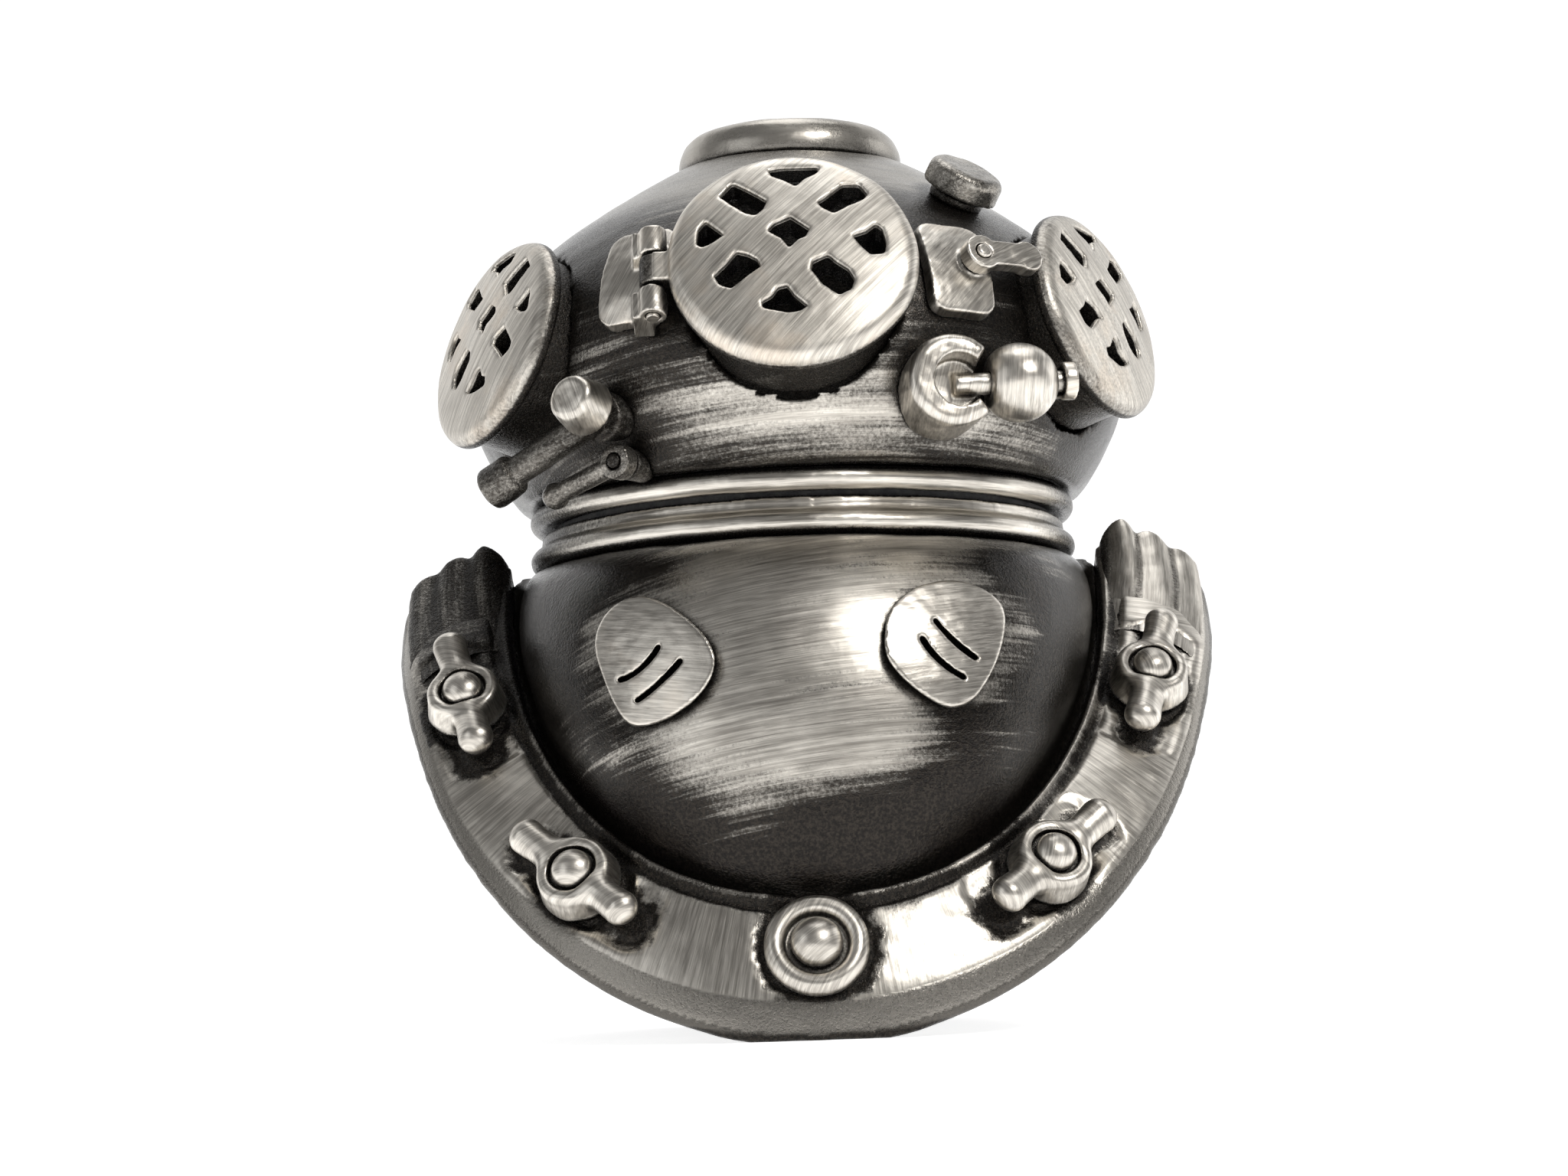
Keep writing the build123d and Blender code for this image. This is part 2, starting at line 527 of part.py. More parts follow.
# ---------------------------------------------------------------- air regulating valve, right front
E_C = Vector(13.4, -30.3, 56.7)
K_C = Vector(19.7, -29.0, 56.9)
kd = (K_C - E_C).normalized()
reg_axis = Plane(origin=K_C, x_dir=(0, 0, 1), z_dir=kd)
cup_pl = Plane(origin=E_C, x_dir=(1, 0.2, 0), z_dir=Vector(0.22, -0.975, 0.05).normalized())
body = cup_pl * (Pos(0, 0, -0.7) * Cylinder(4.2, 6.4))
body = fillet(body.edges().sort_by(Axis.Y)[0:1], 0.9)
body = body + reg_axis * (Pos(0, 0, -4.7) * Cylinder(2.0, 3.4))
body = body - cup_pl * (Pos(0.5, 0, 1.6) * Cylinder(2.4, 4.0))
body = body - reg_axis * (Sphere(3.9) & (Pos(0, 0, 0.6) * Box(9, 9, 7.6)))
body = body - Pos(K_C.X, -32.0, K_C.Z) * Rot(90, 0, 0) * Cylinder(4.1, 10.0)
body = body + reg_axis * (Pos(0, 0, -0.6) * Cylinder(1.0, 11.0))
save("regulator_body", biggest(body - bonnet_solid))
knob_shape = (Sphere(3.55) & (Pos(0, 0, 0.35) * Box(8, 8, 6.4))) - Cylinder(1.0 + RUN, 20)
knob = biggest(reg_axis * knob_shape)
save("regulator_knob", knob)
bracket_pl = Plane(origin=K_C + kd * 4.5, x_dir=(0, 0, 1), z_dir=kd)
bracket = bracket_pl * (Cylinder(1.7, 1.2))
inward = Vector(-bracket_pl.origin.X, -bracket_pl.origin.Y, 0).normalized()
arm_pl = Plane(origin=bracket_pl.origin + inward * 3.2, x_dir=kd, z_dir=inward)
bracket = bracket + (arm_pl * Box(1.2, 2.6, 6.4))
bracket = bracket - reg_axis * Cylinder(1.0, 30) - bonnet_solid - reg_axis * Sphere(3.85)
save("regulator_bracket", biggest(bracket))

# ---------------------------------------------------------------- hose connection and shut-off, left front
lv = on_dome(-33.5, 55.8, -8)
base_l = lv * (Pos(0, 0, 0.2) * Cylinder(2.3, 3.6))
tip = Vector(-27.0, -22.6, 50.6)
start = lv.origin + lv.z_dir * 2.2
hose_dir = (tip - start).normalized()
run_len = (tip - start).length
hp = Plane(origin=start, x_dir=(0, 0, 1), z_dir=hose_dir)
elbow = hp * (Pos(0, 0, run_len / 2) * Cylinder(1.35, run_len))
lump = hp * (Pos(0, 0, run_len) * Cylinder(1.95, 3.4))
lump = fillet(lump.edges(), 0.5)
elbow = elbow + lump
cap_axis = Vector(-0.45, -0.86, 0.22).normalized()
cp = Plane(origin=lv.origin + lv.z_dir * 2.0, x_dir=(0, 0, 1), z_dir=cap_axis)
body_l = base_l + elbow + cp * (Pos(0, 0, 1.6) * Cylinder(0.9, 3.2))
save("hose_connection_body", biggest(body_l - bonnet_solid))
ccap = Pos(0, 0, 1.9) * Cone(2.65, 2.0, 3.4, align=(Align.CENTER, Align.CENTER, Align.MIN))
ccap = fillet(ccap.edges().sort_by(Axis.Z)[-1:], 0.7)
ccap = ccap - Pos(0, 0, 1.0) * Cylinder(0.9 + RUN, 2.5, align=(Align.CENTER, Align.CENTER, Align.MIN))
save("hose_connection_cap", biggest(cp * ccap))

lever_pl = on_dome(-32, 51.5, 0)
boss_l = lever_pl * (Pos(0, 0, 0.3) * Cylinder(1.45, 2.8)) + lever_pl * (Pos(0, 0, 2.3) * Cylinder(0.7, 3.2))
save("shutoff_boss", biggest(boss_l - bonnet_solid))
lever = Pos(0, 0, 2.9) * Cylinder(1.6, 1.7)
lever = lever + Rot(0, 0, 18) * (Pos(-4.0, 0, 2.9) * Rot(0, 90, 0) * Cylinder(0.95, 7.0))
lever = lever + Rot(0, 0, 18) * (Pos(-7.4, 0, 2.9) * Sphere(1.25))
lever = lever - Cylinder(0.7 + RUN, 12)
save("shutoff_lever", biggest(lever_pl * lever))

save("bonnet_shell", biggest(bonnet))

# ---------------------------------------------------------------- base keel, air stone and air line
s0 = section(0)
(e3r, e3z), (m3r, m3z), (gr, gz) = s0["E3"], s0["M3"], s0["G"]
dr, dz = gr - e3r, gz - e3z
m = math.hypot(dr, dz)
nr, nz = -abs(dz) / m, -abs(dr) / m
off = 0.35
a1 = (e3r + nr * off + dr * 0.02, 0.0)
a2 = (e3r + nr * off + dr * 0.10, e3z + dz * 0.10 + nz * off)
a3 = (e3r + nr * off + dr * 0.85, e3z + dz * 0.85 + nz * off)
b3 = (a3[0] + nr * 1.6, a3[1] + nz * 1.6)
b2 = (a2[0] - 2.2, 2.0)
half = [a1, a2, a3, b3, b2]
pts = [(-r, z) for r, z in half] + [(r, z) for r, z in reversed(half)]
keel = extrude(Plane.YZ * make_face(Polyline(*pts, close=True)), KEEL_W / 2, both=True)
keel = keel - frames[2][2].offset(-SEAT_DEPTH) * (Pos(0, 0, -6) * Cylinder(STUD_R + 0.03, 14))
keel = keel - frames[7][2].offset(-SEAT_DEPTH) * (Pos(0, 0, -6) * Cylinder(STUD_R + 0.03, 14))
keel = keel - Pos(0, 0, 0.7) * Cylinder(1.35, 10, align=(Align.CENTER, Align.CENTER, Align.MIN))
save("base_keel", biggest(keel))

cup = Pos(0, 0, 2.02) * Cylinder(8.0, 8.0, align=(Align.CENTER, Align.CENTER, Align.MIN))
cup = cup - Pos(0, 0, 3.9) * Cylinder(STONE_R + 0.25, 12, align=(Align.CENTER, Align.CENTER, Align.MIN))
cup = cup - Cylinder(1.3, 10)
cup = cup - Pos(0, 8, 7.6) * Box(5.8, 6, 5.8)
save("stone_cup", biggest(cup))
screw = Pos(0, 0, 0.75) * Cylinder(1.25, 2.9, align=(Align.CENTER, Align.CENTER, Align.MIN))
screw = screw + Pos(0, 0, 3.92) * Cylinder(2.4, 1.2, align=(Align.CENTER, Align.CENTER, Align.MIN))
screw = screw + Pos(0, 0, 3.6) * Cylinder(1.25, 0.4, align=(Align.CENTER, Align.CENTER, Align.MIN))
save("cup_screw", biggest(screw))

stone = Pos(0, 0, 5.2) * Cylinder(STONE_R, 19.0, align=(Align.CENTER, Align.CENTER, Align.MIN))
stone = fillet(stone.edges().sort_by(Axis.Z)[-1:], 1.0)
stone = stone - Pos(0, 4.0, 7.6) * Rot(90, 0, 0) * Cylinder(1.5, 8.0)
save("air_stone", biggest(stone))
nipple = Pos(0, 6.6, 7.6) * Rot(90, 0, 0) * Cylinder(1.48, 7.0)
nipple = nipple - Pos(0, 6.6, 7.6) * Rot(90, 0, 0) * Cylinder(0.8, 12.0)
save("stone_nipple", biggest(nipple))

route = [(0, 6.6, 7.6), (0, 17.5, 7.6), (0, 23.0, INLET_Z), (0, 30.0, INLET_Z)]
path = FilletPolyline(*route, radius=3.4)
ring_prof = Plane(origin=route[0], z_dir=(0, 1, 0)) * (Circle(PIPE_R) - Circle(PIPE_BORE))
pipe = sweep(ring_prof, path=path)
save("air_pipe", biggest(pipe))
print("pipe length", round(path.length, 2), "volume", round(pipe.volume, 2), "expected",
      round(path.length * math.pi * (PIPE_R ** 2 - PIPE_BORE ** 2), 2))

flange_y = 36.9
inlet = Pos(0, (27.4 + flange_y) / 2, INLET_Z) * Rot(90, 0, 0) * Cylinder(1.5, flange_y - 27.4)
inlet = inlet + Pos(0, (30.05 + flange_y) / 2, INLET_Z) * Rot(90, 0, 0) * Cylinder(PIPE_R, flange_y - 30.05)
inlet = inlet + Pos(0, flange_y + 0.7, INLET_Z) * Rot(90, 0, 0) * Cylinder(4.2, 1.4)
inlet = inlet + Pos(0, flange_y + 1.4 + 4.0, INLET_Z) * Rot(90, 0, 0) * Cylinder(INLET_R, 8.0)
inlet = inlet - Pos(0, 38, INLET_Z) * Rot(90, 0, 0) * Cylinder(1.0, 40.0)
save("air_inlet_nipple", biggest(inlet))
seal = Pos(0, flange_y - 1.4, INLET_Z) * Rot(90, 0, 0) * Cylinder(4.0, 2.76)
seal = seal - Pos(0, 36, INLET_Z) * Rot(90, 0, 0) * Cylinder(PIPE_R + 0.02, 20) - rear(dome_gap)
save("inlet_seal", biggest(seal))
nut = Pos(0, 31.7, INLET_Z) * Rot(90, 0, 0) * extrude(RegularPolygon(4.2, 6), 1.1, both=True)
nut = nut - Pos(0, 33, INLET_Z) * Rot(90, 0, 0) * Cylinder(PIPE_R + 0.02, 20)
save("inlet_nut", biggest(nut))
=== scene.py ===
import json
import math

import bpy
import numpy as np
from mathutils import Matrix, Vector

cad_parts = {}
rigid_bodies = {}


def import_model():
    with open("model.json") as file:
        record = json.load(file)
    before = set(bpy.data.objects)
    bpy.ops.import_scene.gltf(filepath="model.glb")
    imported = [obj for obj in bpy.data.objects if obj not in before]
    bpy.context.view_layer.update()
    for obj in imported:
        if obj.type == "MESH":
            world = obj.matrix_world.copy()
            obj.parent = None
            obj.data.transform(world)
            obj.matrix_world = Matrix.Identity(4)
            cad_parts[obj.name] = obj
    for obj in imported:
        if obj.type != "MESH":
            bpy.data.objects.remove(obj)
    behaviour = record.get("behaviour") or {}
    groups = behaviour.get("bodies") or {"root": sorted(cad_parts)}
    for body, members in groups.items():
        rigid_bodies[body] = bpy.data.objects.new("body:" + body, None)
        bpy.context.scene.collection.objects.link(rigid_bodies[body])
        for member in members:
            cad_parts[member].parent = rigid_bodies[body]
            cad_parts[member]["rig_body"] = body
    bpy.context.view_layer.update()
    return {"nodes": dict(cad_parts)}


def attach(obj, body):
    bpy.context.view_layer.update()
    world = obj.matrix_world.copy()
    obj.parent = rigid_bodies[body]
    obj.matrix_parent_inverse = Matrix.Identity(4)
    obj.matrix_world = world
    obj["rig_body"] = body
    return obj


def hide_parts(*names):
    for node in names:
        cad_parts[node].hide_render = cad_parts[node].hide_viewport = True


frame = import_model()

NODES = frame["nodes"]
BODY = {n: o["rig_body"] for n, o in NODES.items()}
COLL = bpy.context.scene.collection
MM = 0.001


# ------------------------------------------------------------------ numpy helpers
def hash3(i, j, k, seed):
    h = (i * 374761393 + j * 668265263 + k * 2147483647 + seed * 1274126177) & 0xFFFFFFFF
    h = ((h ^ (h >> 13)) * 1274126177) & 0xFFFFFFFF
    h = h ^ (h >> 16)
    return (h & 0xFFFFFF) / float(0xFFFFFF) * 2.0 - 1.0


def vnoise(p, scale, seed=0):
    # smooth value noise in -1..1 at points p (mm), one cell being `scale` mm
    q = p / scale
    b = np.floor(q).astype(np.int64)
    f = q - b
    f = f * f * f * (f * (f * 6 - 15) + 10)
    out = np.zeros(len(p))
    for dx in (0, 1):
        for dy in (0, 1):
            for dz in (0, 1):
                w = ((f[:, 0] if dx else 1 - f[:, 0]) * (f[:, 1] if dy else 1 - f[:, 1])
                     * (f[:, 2] if dz else 1 - f[:, 2]))
                out += w * hash3(b[:, 0] + dx, b[:, 1] + dy, b[:, 2] + dz, seed)
    return out


def smin(a, b, k):
    h = np.maximum(k - np.abs(a - b), 0.0) / k
    return np.minimum(a, b) - h * h * k * 0.25


def smax(a, b, k):
    return -smin(-a, -b, k)


def step(x, a, b):
    t = np.clip((x - a) / (b - a), 0.0, 1.0)
    return t * t * (3 - 2 * t)


def gauss(x, s):
    return np.exp(-(x / s) ** 2)


def poly_sd(px, py, poly):
    # signed distance to a closed outline, negative inside
    n = len(poly)
    d = np.full(px.shape, 1e9)
    inside = np.zeros(px.shape, bool)
    for i in range(n):
        ax, ay = poly[i]
        bx, by = poly[(i + 1) % n]
        ex, ey = bx - ax, by - ay
        wx, wy = px - ax, py - ay
        t = np.clip((wx * ex + wy * ey) / (ex * ex + ey * ey), 0, 1)
        d = np.minimum(d, (wx - ex * t) ** 2 + (wy - ey * t) ** 2)
        c = ((ay <= py) & (by > py)) | ((by <= py) & (ay > py))
        with np.errstate(divide="ignore", invalid="ignore"):
            xi = ax + (py - ay) * ex / (ey if abs(ey) > 1e-12 else 1e-12)
        inside ^= c & (px < xi)
    d = np.sqrt(d)
    return np.where(inside, -d, d)


def surface_net(fn, lo, hi, h):
    # meshes the zero level of fn(x, y, z) inside a box, all in mm; returns verts, quads
    lo, hi = np.array(lo, float), np.array(hi, float)
    n = np.ceil((hi - lo) / h).astype(int) + 1
    ax = [lo[k] + h * np.arange(n[k]) for k in range(3)]
    X, Y, Z = np.meshgrid(*ax, indexing="ij")
    f = fn(X, Y, Z)
    f[0], f[-1], f[:, 0], f[:, -1], f[:, :, 0], f[:, :, -1] = (np.abs(f[0]), np.abs(f[-1]), np.abs(f[:, 0]),
                                                               np.abs(f[:, -1]), np.abs(f[:, :, 0]), np.abs(f[:, :, -1]))
    s = f < 0
    m = n - 1
    corners = [(i, j, k) for i in (0, 1) for j in (0, 1) for k in (0, 1)]

    def at(a, c):
        return a[c[0]:m[0] + c[0], c[1]:m[1] + c[1], c[2]:m[2] + c[2]]
    cnt = np.zeros(m, np.int8)
    for c in corners:
        cnt += at(s, c)
    active = (cnt > 0) & (cnt < 8)
    idx = np.full(m, -1, np.int64)
    idx[active] = np.arange(active.sum())
    pos = np.zeros((int(active.sum()), 3))
    w = np.zeros(int(active.sum()))
    for a in corners:
        for ax_i in range(3):
            if a[ax_i] == 0:
                b = list(a)
                b[ax_i] = 1
                fa, fb = at(f, a)[active], at(f, b)[active]
                cross = (fa < 0) != (fb < 0)
                t = np.where(cross, fa / np.where(fa == fb, 1.0, fa - fb), 0.0)
                p = np.array(a, float)[None, :].repeat(len(t), 0)
                p[:, ax_i] += t
                pos += np.where(cross[:, None], p, 0)
                w += cross
    pos /= w[:, None]
    cell = np.argwhere(active)
    verts = lo + (cell + pos) * h
    quads = []
    for a in range(3):
        b, c = (a + 1) % 3, (a + 2) % 3
        sl0 = [slice(None)] * 3
        sl1 = [slice(None)] * 3
        sl0[a], sl1[a] = slice(0, m[a]), slice(1, m[a] + 1)
        for q in (b, c):
            sl0[q] = sl1[q] = slice(1, m[q])
        s0, s1 = s[tuple(sl0)], s[tuple(sl1)]
        ch = np.argwhere(s0 != s1)
        if not len(ch):
            continue
        inside_first = s0[tuple(ch.T)]
        base = ch.copy()
        base[:, b] += 1
        base[:, c] += 1

        def cid(db, dc):
            p = base.copy()
            p[:, b] -= db
            p[:, c] -= dc
            return idx[tuple(p.T)]
        q = np.stack([cid(1, 1), cid(0, 1), cid(0, 0), cid(1, 0)], 1)
        q[~inside_first] = q[~inside_first][:, ::-1]
        quads.append(q)
    return verts, np.concatenate(quads)


def mesh_from(name, verts_mm, faces):
    me = bpy.data.meshes.new(name)
    me.vertices.add(len(verts_mm))
    me.vertices.foreach_set("co", (np.asarray(verts_mm) * MM).astype(np.float32).ravel())
    faces = np.asarray(faces)
    k = faces.shape[1]
    me.loops.add(faces.size)
    me.loops.foreach_set("vertex_index", faces.astype(np.int32).ravel())
    me.polygons.add(len(faces))
    me.polygons.foreach_set("loop_start", np.arange(0, faces.size, k, dtype=np.int32))
    me.update(calc_edges=True)
    me.validate()
    return me


def coords(me):
    co = np.zeros(len(me.vertices) * 3, np.float32)
    me.vertices.foreach_get("co", co)
    return co.reshape(-1, 3).astype(float) / MM


def set_coords(me, co):
    me.vertices.foreach_set("co", (co * MM).astype(np.float32).ravel())
    me.update()


def normals(me):
    n = np.zeros(len(me.vertices) * 3, np.float32)
    me.vertex_normals.foreach_get("vector", n)
    return n.reshape(-1, 3).astype(float)


def smooth(me, times, lam=0.55, mu=0.0, mask=None):
    e = np.zeros(len(me.edges) * 2, np.int32)
    me.edges.foreach_get("vertices", e)
    e = e.reshape(-1, 2)
    co = coords(me)
    n = len(co)
    deg = np.bincount(e.ravel(), minlength=n).astype(float)
    deg[deg == 0] = 1
    for k in range(times):
        for w in ((lam, mu) if mu else (lam,)):
            acc = np.zeros((n, 3))
            for a in range(3):
                acc[:, a] = (np.bincount(e[:, 0], weights=co[e[:, 1], a], minlength=n)
                             + np.bincount(e[:, 1], weights=co[e[:, 0], a], minlength=n))
            d = w * (acc / deg[:, None] - co)
            co = co + (d if mask is None else d * mask[:, None])
    set_coords(me, co)


def welded(node):
    import bmesh
    src = NODES[node].data
    bm = bmesh.new()
    bm.from_mesh(src)
    bmesh.ops.remove_doubles(bm, verts=bm.verts, dist=2e-6)
    me = bpy.data.meshes.new(node + "_w")
    bm.to_mesh(me)
    bm.free()
    return me


def remeshed(me, voxel_mm):
    o = bpy.data.objects.new("tmp_remesh", me)
    COLL.objects.link(o)
    mod = o.modifiers.new("r", "REMESH")
    mod.mode = "VOXEL"
    mod.voxel_size = voxel_mm * MM
    mod.adaptivity = 0.0
    dg = bpy.context.evaluated_depsgraph_get()
    new = bpy.data.meshes.new_from_object(o.evaluated_get(dg))
    bpy.data.objects.remove(o)
    return new


def joined(meshes):
    vs, fs, off = [], [], 0
    for v, f in meshes:
        vs.append(v)
        fs.append(f + off)
        off += len(v)
    return np.concatenate(vs), np.concatenate(fs)


# ------------------------------------------------------------------ places on the object, in mm
OUT = [(26.9, 50.62), (27.7, 51.4), (28.6, 52.7), (30.4, 55.9), (31.7, 59.2), (32.1, 62.5), (31.2, 67.0), (27.6, 72.3),
       (21.6, 77.3), (16.2, 80.9), (12.0, 83.4)]


def on_dome(az, z, el):
    r = 30.0
    for i in range(len(OUT) - 1):
        if OUT[i][1] <= z <= OUT[i + 1][1]:
            k = (z - OUT[i][1]) / (OUT[i + 1][1] - OUT[i][1])
            r = OUT[i][0] + k * (OUT[i + 1][0] - OUT[i][0])
    a, e = math.radians(az), math.radians(el)
    n = np.array([math.sin(a) * math.cos(e), -math.cos(a) * math.cos(e), math.sin(e)])
    x = np.array([math.cos(a), math.sin(a), 0.0])
    return np.array([r * math.sin(a), -r * math.cos(a), z]), x, np.cross(n, x), n


def to_world(verts, pl):
    o, x, y, n = pl
    return o + verts[:, :1] * x + verts[:, 1:2] * y + verts[:, 2:3] * n


def to_local(p, pl):
    o, x, y, n = pl
    d = p - o
    return np.stack([d @ x, d @ y, d @ n], 1)


def plane(o, x, n):
    o, x, n = map(np.array, (o, x, n))
    return o.astype(float), x, np.cross(n, x), n


PF = on_dome(0, 67.3, 23)
PL = on_dome(-57, 63.9, 17)
PR = on_dome(58, 64.8, 15)
PT = (np.array([0.0, 0.0, 85.42]), np.array([1.0, 0, 0]), np.array([0, 1.0, 0]), np.array([0, 0, 1.0]))

SEAT = 0.55
STUD = {
    "upper_left": ((-31.593, -14.066, 31.076), (0.24304, -0.64868, -0.72122), (-0.10398, -0.75665, 0.6455)),
    "lower_left": ((-20.372, -29.642, 14.1), (0.67752, -0.51175, -0.52828), (-0.24637, -0.83466, 0.49258)),
    "centre": ((0.0, -36.222, 7.836), (1.0, 0.0, 0.0), (0.0, -0.92125, 0.38897)),
    "lower_right": ((20.372, -29.642, 14.1), (0.67752, 0.51175, 0.52828), (0.24637, -0.83466, 0.49258)),
    "upper_right": ((31.593, -14.066, 31.076), (0.24304, 0.64868, 0.72122), (0.10398, -0.75665, 0.6455)),
}
PLACES = {}
for key, (o, x, n) in STUD.items():
    for side, s in (("front", 1), ("rear", -1)):
        oo, xx, nn = (np.array([v[0], v[1] * s, v[2]]) for v in (o, x, n))
        nn = nn / np.linalg.norm(nn)
        xx = xx - nn * (xx @ nn)
        xx = xx / np.linalg.norm(xx)
        PLACES[side + "_" + key] = (oo - nn * SEAT, xx, np.cross(nn, xx), nn)

# the collar's inner edge (radius, height) and outer edge, by plan azimuth
COLLAR = np.array([
    (0, 34.000, 12.200, 37.800, 3.200), (5, 34.006, 12.312, 37.805, 3.341), (10, 33.962, 12.705, 37.822, 3.764),
    (15, 33.830, 13.406, 37.848, 4.470), (20, 33.598, 14.418, 37.885, 5.457), (25, 33.268, 15.720, 37.930, 6.726),
    (30, 32.856, 17.282, 37.984, 8.275), (35, 32.383, 19.064, 38.044, 10.101), (40, 31.874, 21.025, 38.110, 12.201),
    (45, 31.352, 23.127, 38.178, 14.571), (50, 30.840, 25.337, 38.248, 17.202), (55, 30.356, 27.629, 38.317, 20.087),
    (60, 29.914, 29.984, 38.383, 23.212), (65, 29.525, 32.391, 38.444, 26.565), (70, 29.198, 34.843, 38.497, 30.131),
    (75, 28.939, 37.345, 38.541, 33.442), (80, 28.751, 39.907, 38.573, 36.150), (85, 28.638, 42.565, 38.593, 38.996),
    (90, 28.600, 45.500, 38.600, 42.900)])


def collar_tn(p):
    # distance outward along the collar's face, and height above it
    az = np.degrees(np.arctan2(np.abs(p[:, 0]), np.abs(p[:, 1])))
    ra, za, rb, zb = (np.interp(az, COLLAR[:, 0], COLLAR[:, k]) for k in (1, 2, 3, 4))
    tr, tz = rb - ra, zb - za
    ln = np.hypot(tr, tz)
    tr, tz = tr / ln, tz / ln
    r = np.hypot(p[:, 0], p[:, 1])
    return (r - ra) * tr + (p[:, 2] - za) * tz, (r - ra) * (-tz) + (p[:, 2] - za) * tr, ln


def nut_outline(p, place, centre):
    # signed distance in the face plane to the nut that sits at this place
    q = to_local(p, place)
    d = np.hypot(q[:, 0], q[:, 1])
    if centre:
        return d - 4.5, q[:, 2]
    boss = d - 3.7
    u = np.clip(q[:, 0], -6.6, 6.6)
    wing = np.hypot(q[:, 0] - u, q[:, 1]) - 1.55
    return np.minimum(boss, wing), q[:, 2]


# ------------------------------------------------------------------ materials
def nodes_of(mat):
    mat.use_nodes = True
    nt = mat.node_tree
    nt.nodes.clear()
    return nt


class Net:
    def __init__(self, mat):
        self.t = nodes_of(mat)

    def new(self, kind, **kw):
        n = self.t.nodes.new(kind)
        for k, v in kw.items():
            setattr(n, k, v)
        return n

    def link(self, a, b):
        self.t.links.new(a, b)

    def put(self, sock, v):
        if isinstance(v, bpy.types.NodeSocket):
            self.link(v, sock)
        else:
            sock.default_value = v

    def math(self, op, a, b=0.0, clamp=False):
        n = self.new("ShaderNodeMath", operation=op, use_clamp=clamp)
        self.put(n.inputs[0], a)
        self.put(n.inputs[1], b)
        return n.outputs[0]

    def vmath(self, op, a, b):
        n = self.new("ShaderNodeVectorMath", operation=op)
        self.put(n.inputs[0], a)
        self.put(n.inputs[1], b)
        return n.outputs[0]

    def noise(self, vec, scale, detail=3.0, rough=0.55, dist=0.0):
        n = self.new("ShaderNodeTexNoise")
        self.link(vec, n.inputs["Vector"])
        n.inputs["Scale"].default_value = scale
        n.inputs["Detail"].default_value = detail
        n.inputs["Roughness"].default_value = rough
        n.inputs["Distortion"].default_value = dist
        return n.outputs[0]

    def remap(self, v, a, b, c=0.0, d=1.0, smooth_=True):
        n = self.new("ShaderNodeMapRange")
        n.interpolation_type = "SMOOTHSTEP" if smooth_ else "LINEAR"
        n.clamp = True
        self.link(v, n.inputs[0])
        for i, x in zip((1, 2, 3, 4), (a, b, c, d)):
            n.inputs[i].default_value = x
        return n.outputs[0]

    def mix(self, f, a, b):
        n = self.new("ShaderNodeMix", data_type="RGBA")
        self.put(n.inputs[0], f)
        self.put(n.inputs[6], a)
        self.put(n.inputs[7], b)
        return n.outputs[2]

    def mixf(self, f, a, b):
        n = self.new("ShaderNodeMix", data_type="FLOAT")
        self.put(n.inputs[0], f)
        self.put(n.inputs[2], a)
        self.put(n.inputs[3], b)
        return n.outputs[0]

    def bump(self, h, strength, dist_mm, normal=None):
        n = self.new("ShaderNodeBump")
        n.inputs["Strength"].default_value = strength
        n.inputs["Distance"].default_value = dist_mm * MM
        self.link(h, n.inputs["Height"])
        if normal is not None:
            self.link(normal, n.inputs["Normal"])
        return n.outputs[0]

    def finish(self, **kw):
        b = self.new("ShaderNodeBsdfPrincipled")
        for k, v in kw.items():
            self.put(b.inputs[k], v)
        o = self.new("ShaderNodeOutputMaterial")
        self.link(b.outputs[0], o.inputs[0])
        return b


SILVER_HI = (0.80, 0.76, 0.69, 1)
SILVER_LO = (0.36, 0.335, 0.30, 1)
# near-black used for the patina and for painted shade alike
PATINA_SHADE_BLACK = (0.012, 0.011, 0.010, 1)
PATINA_SHADE_WARM = (0.034, 0.029, 0.024, 1)


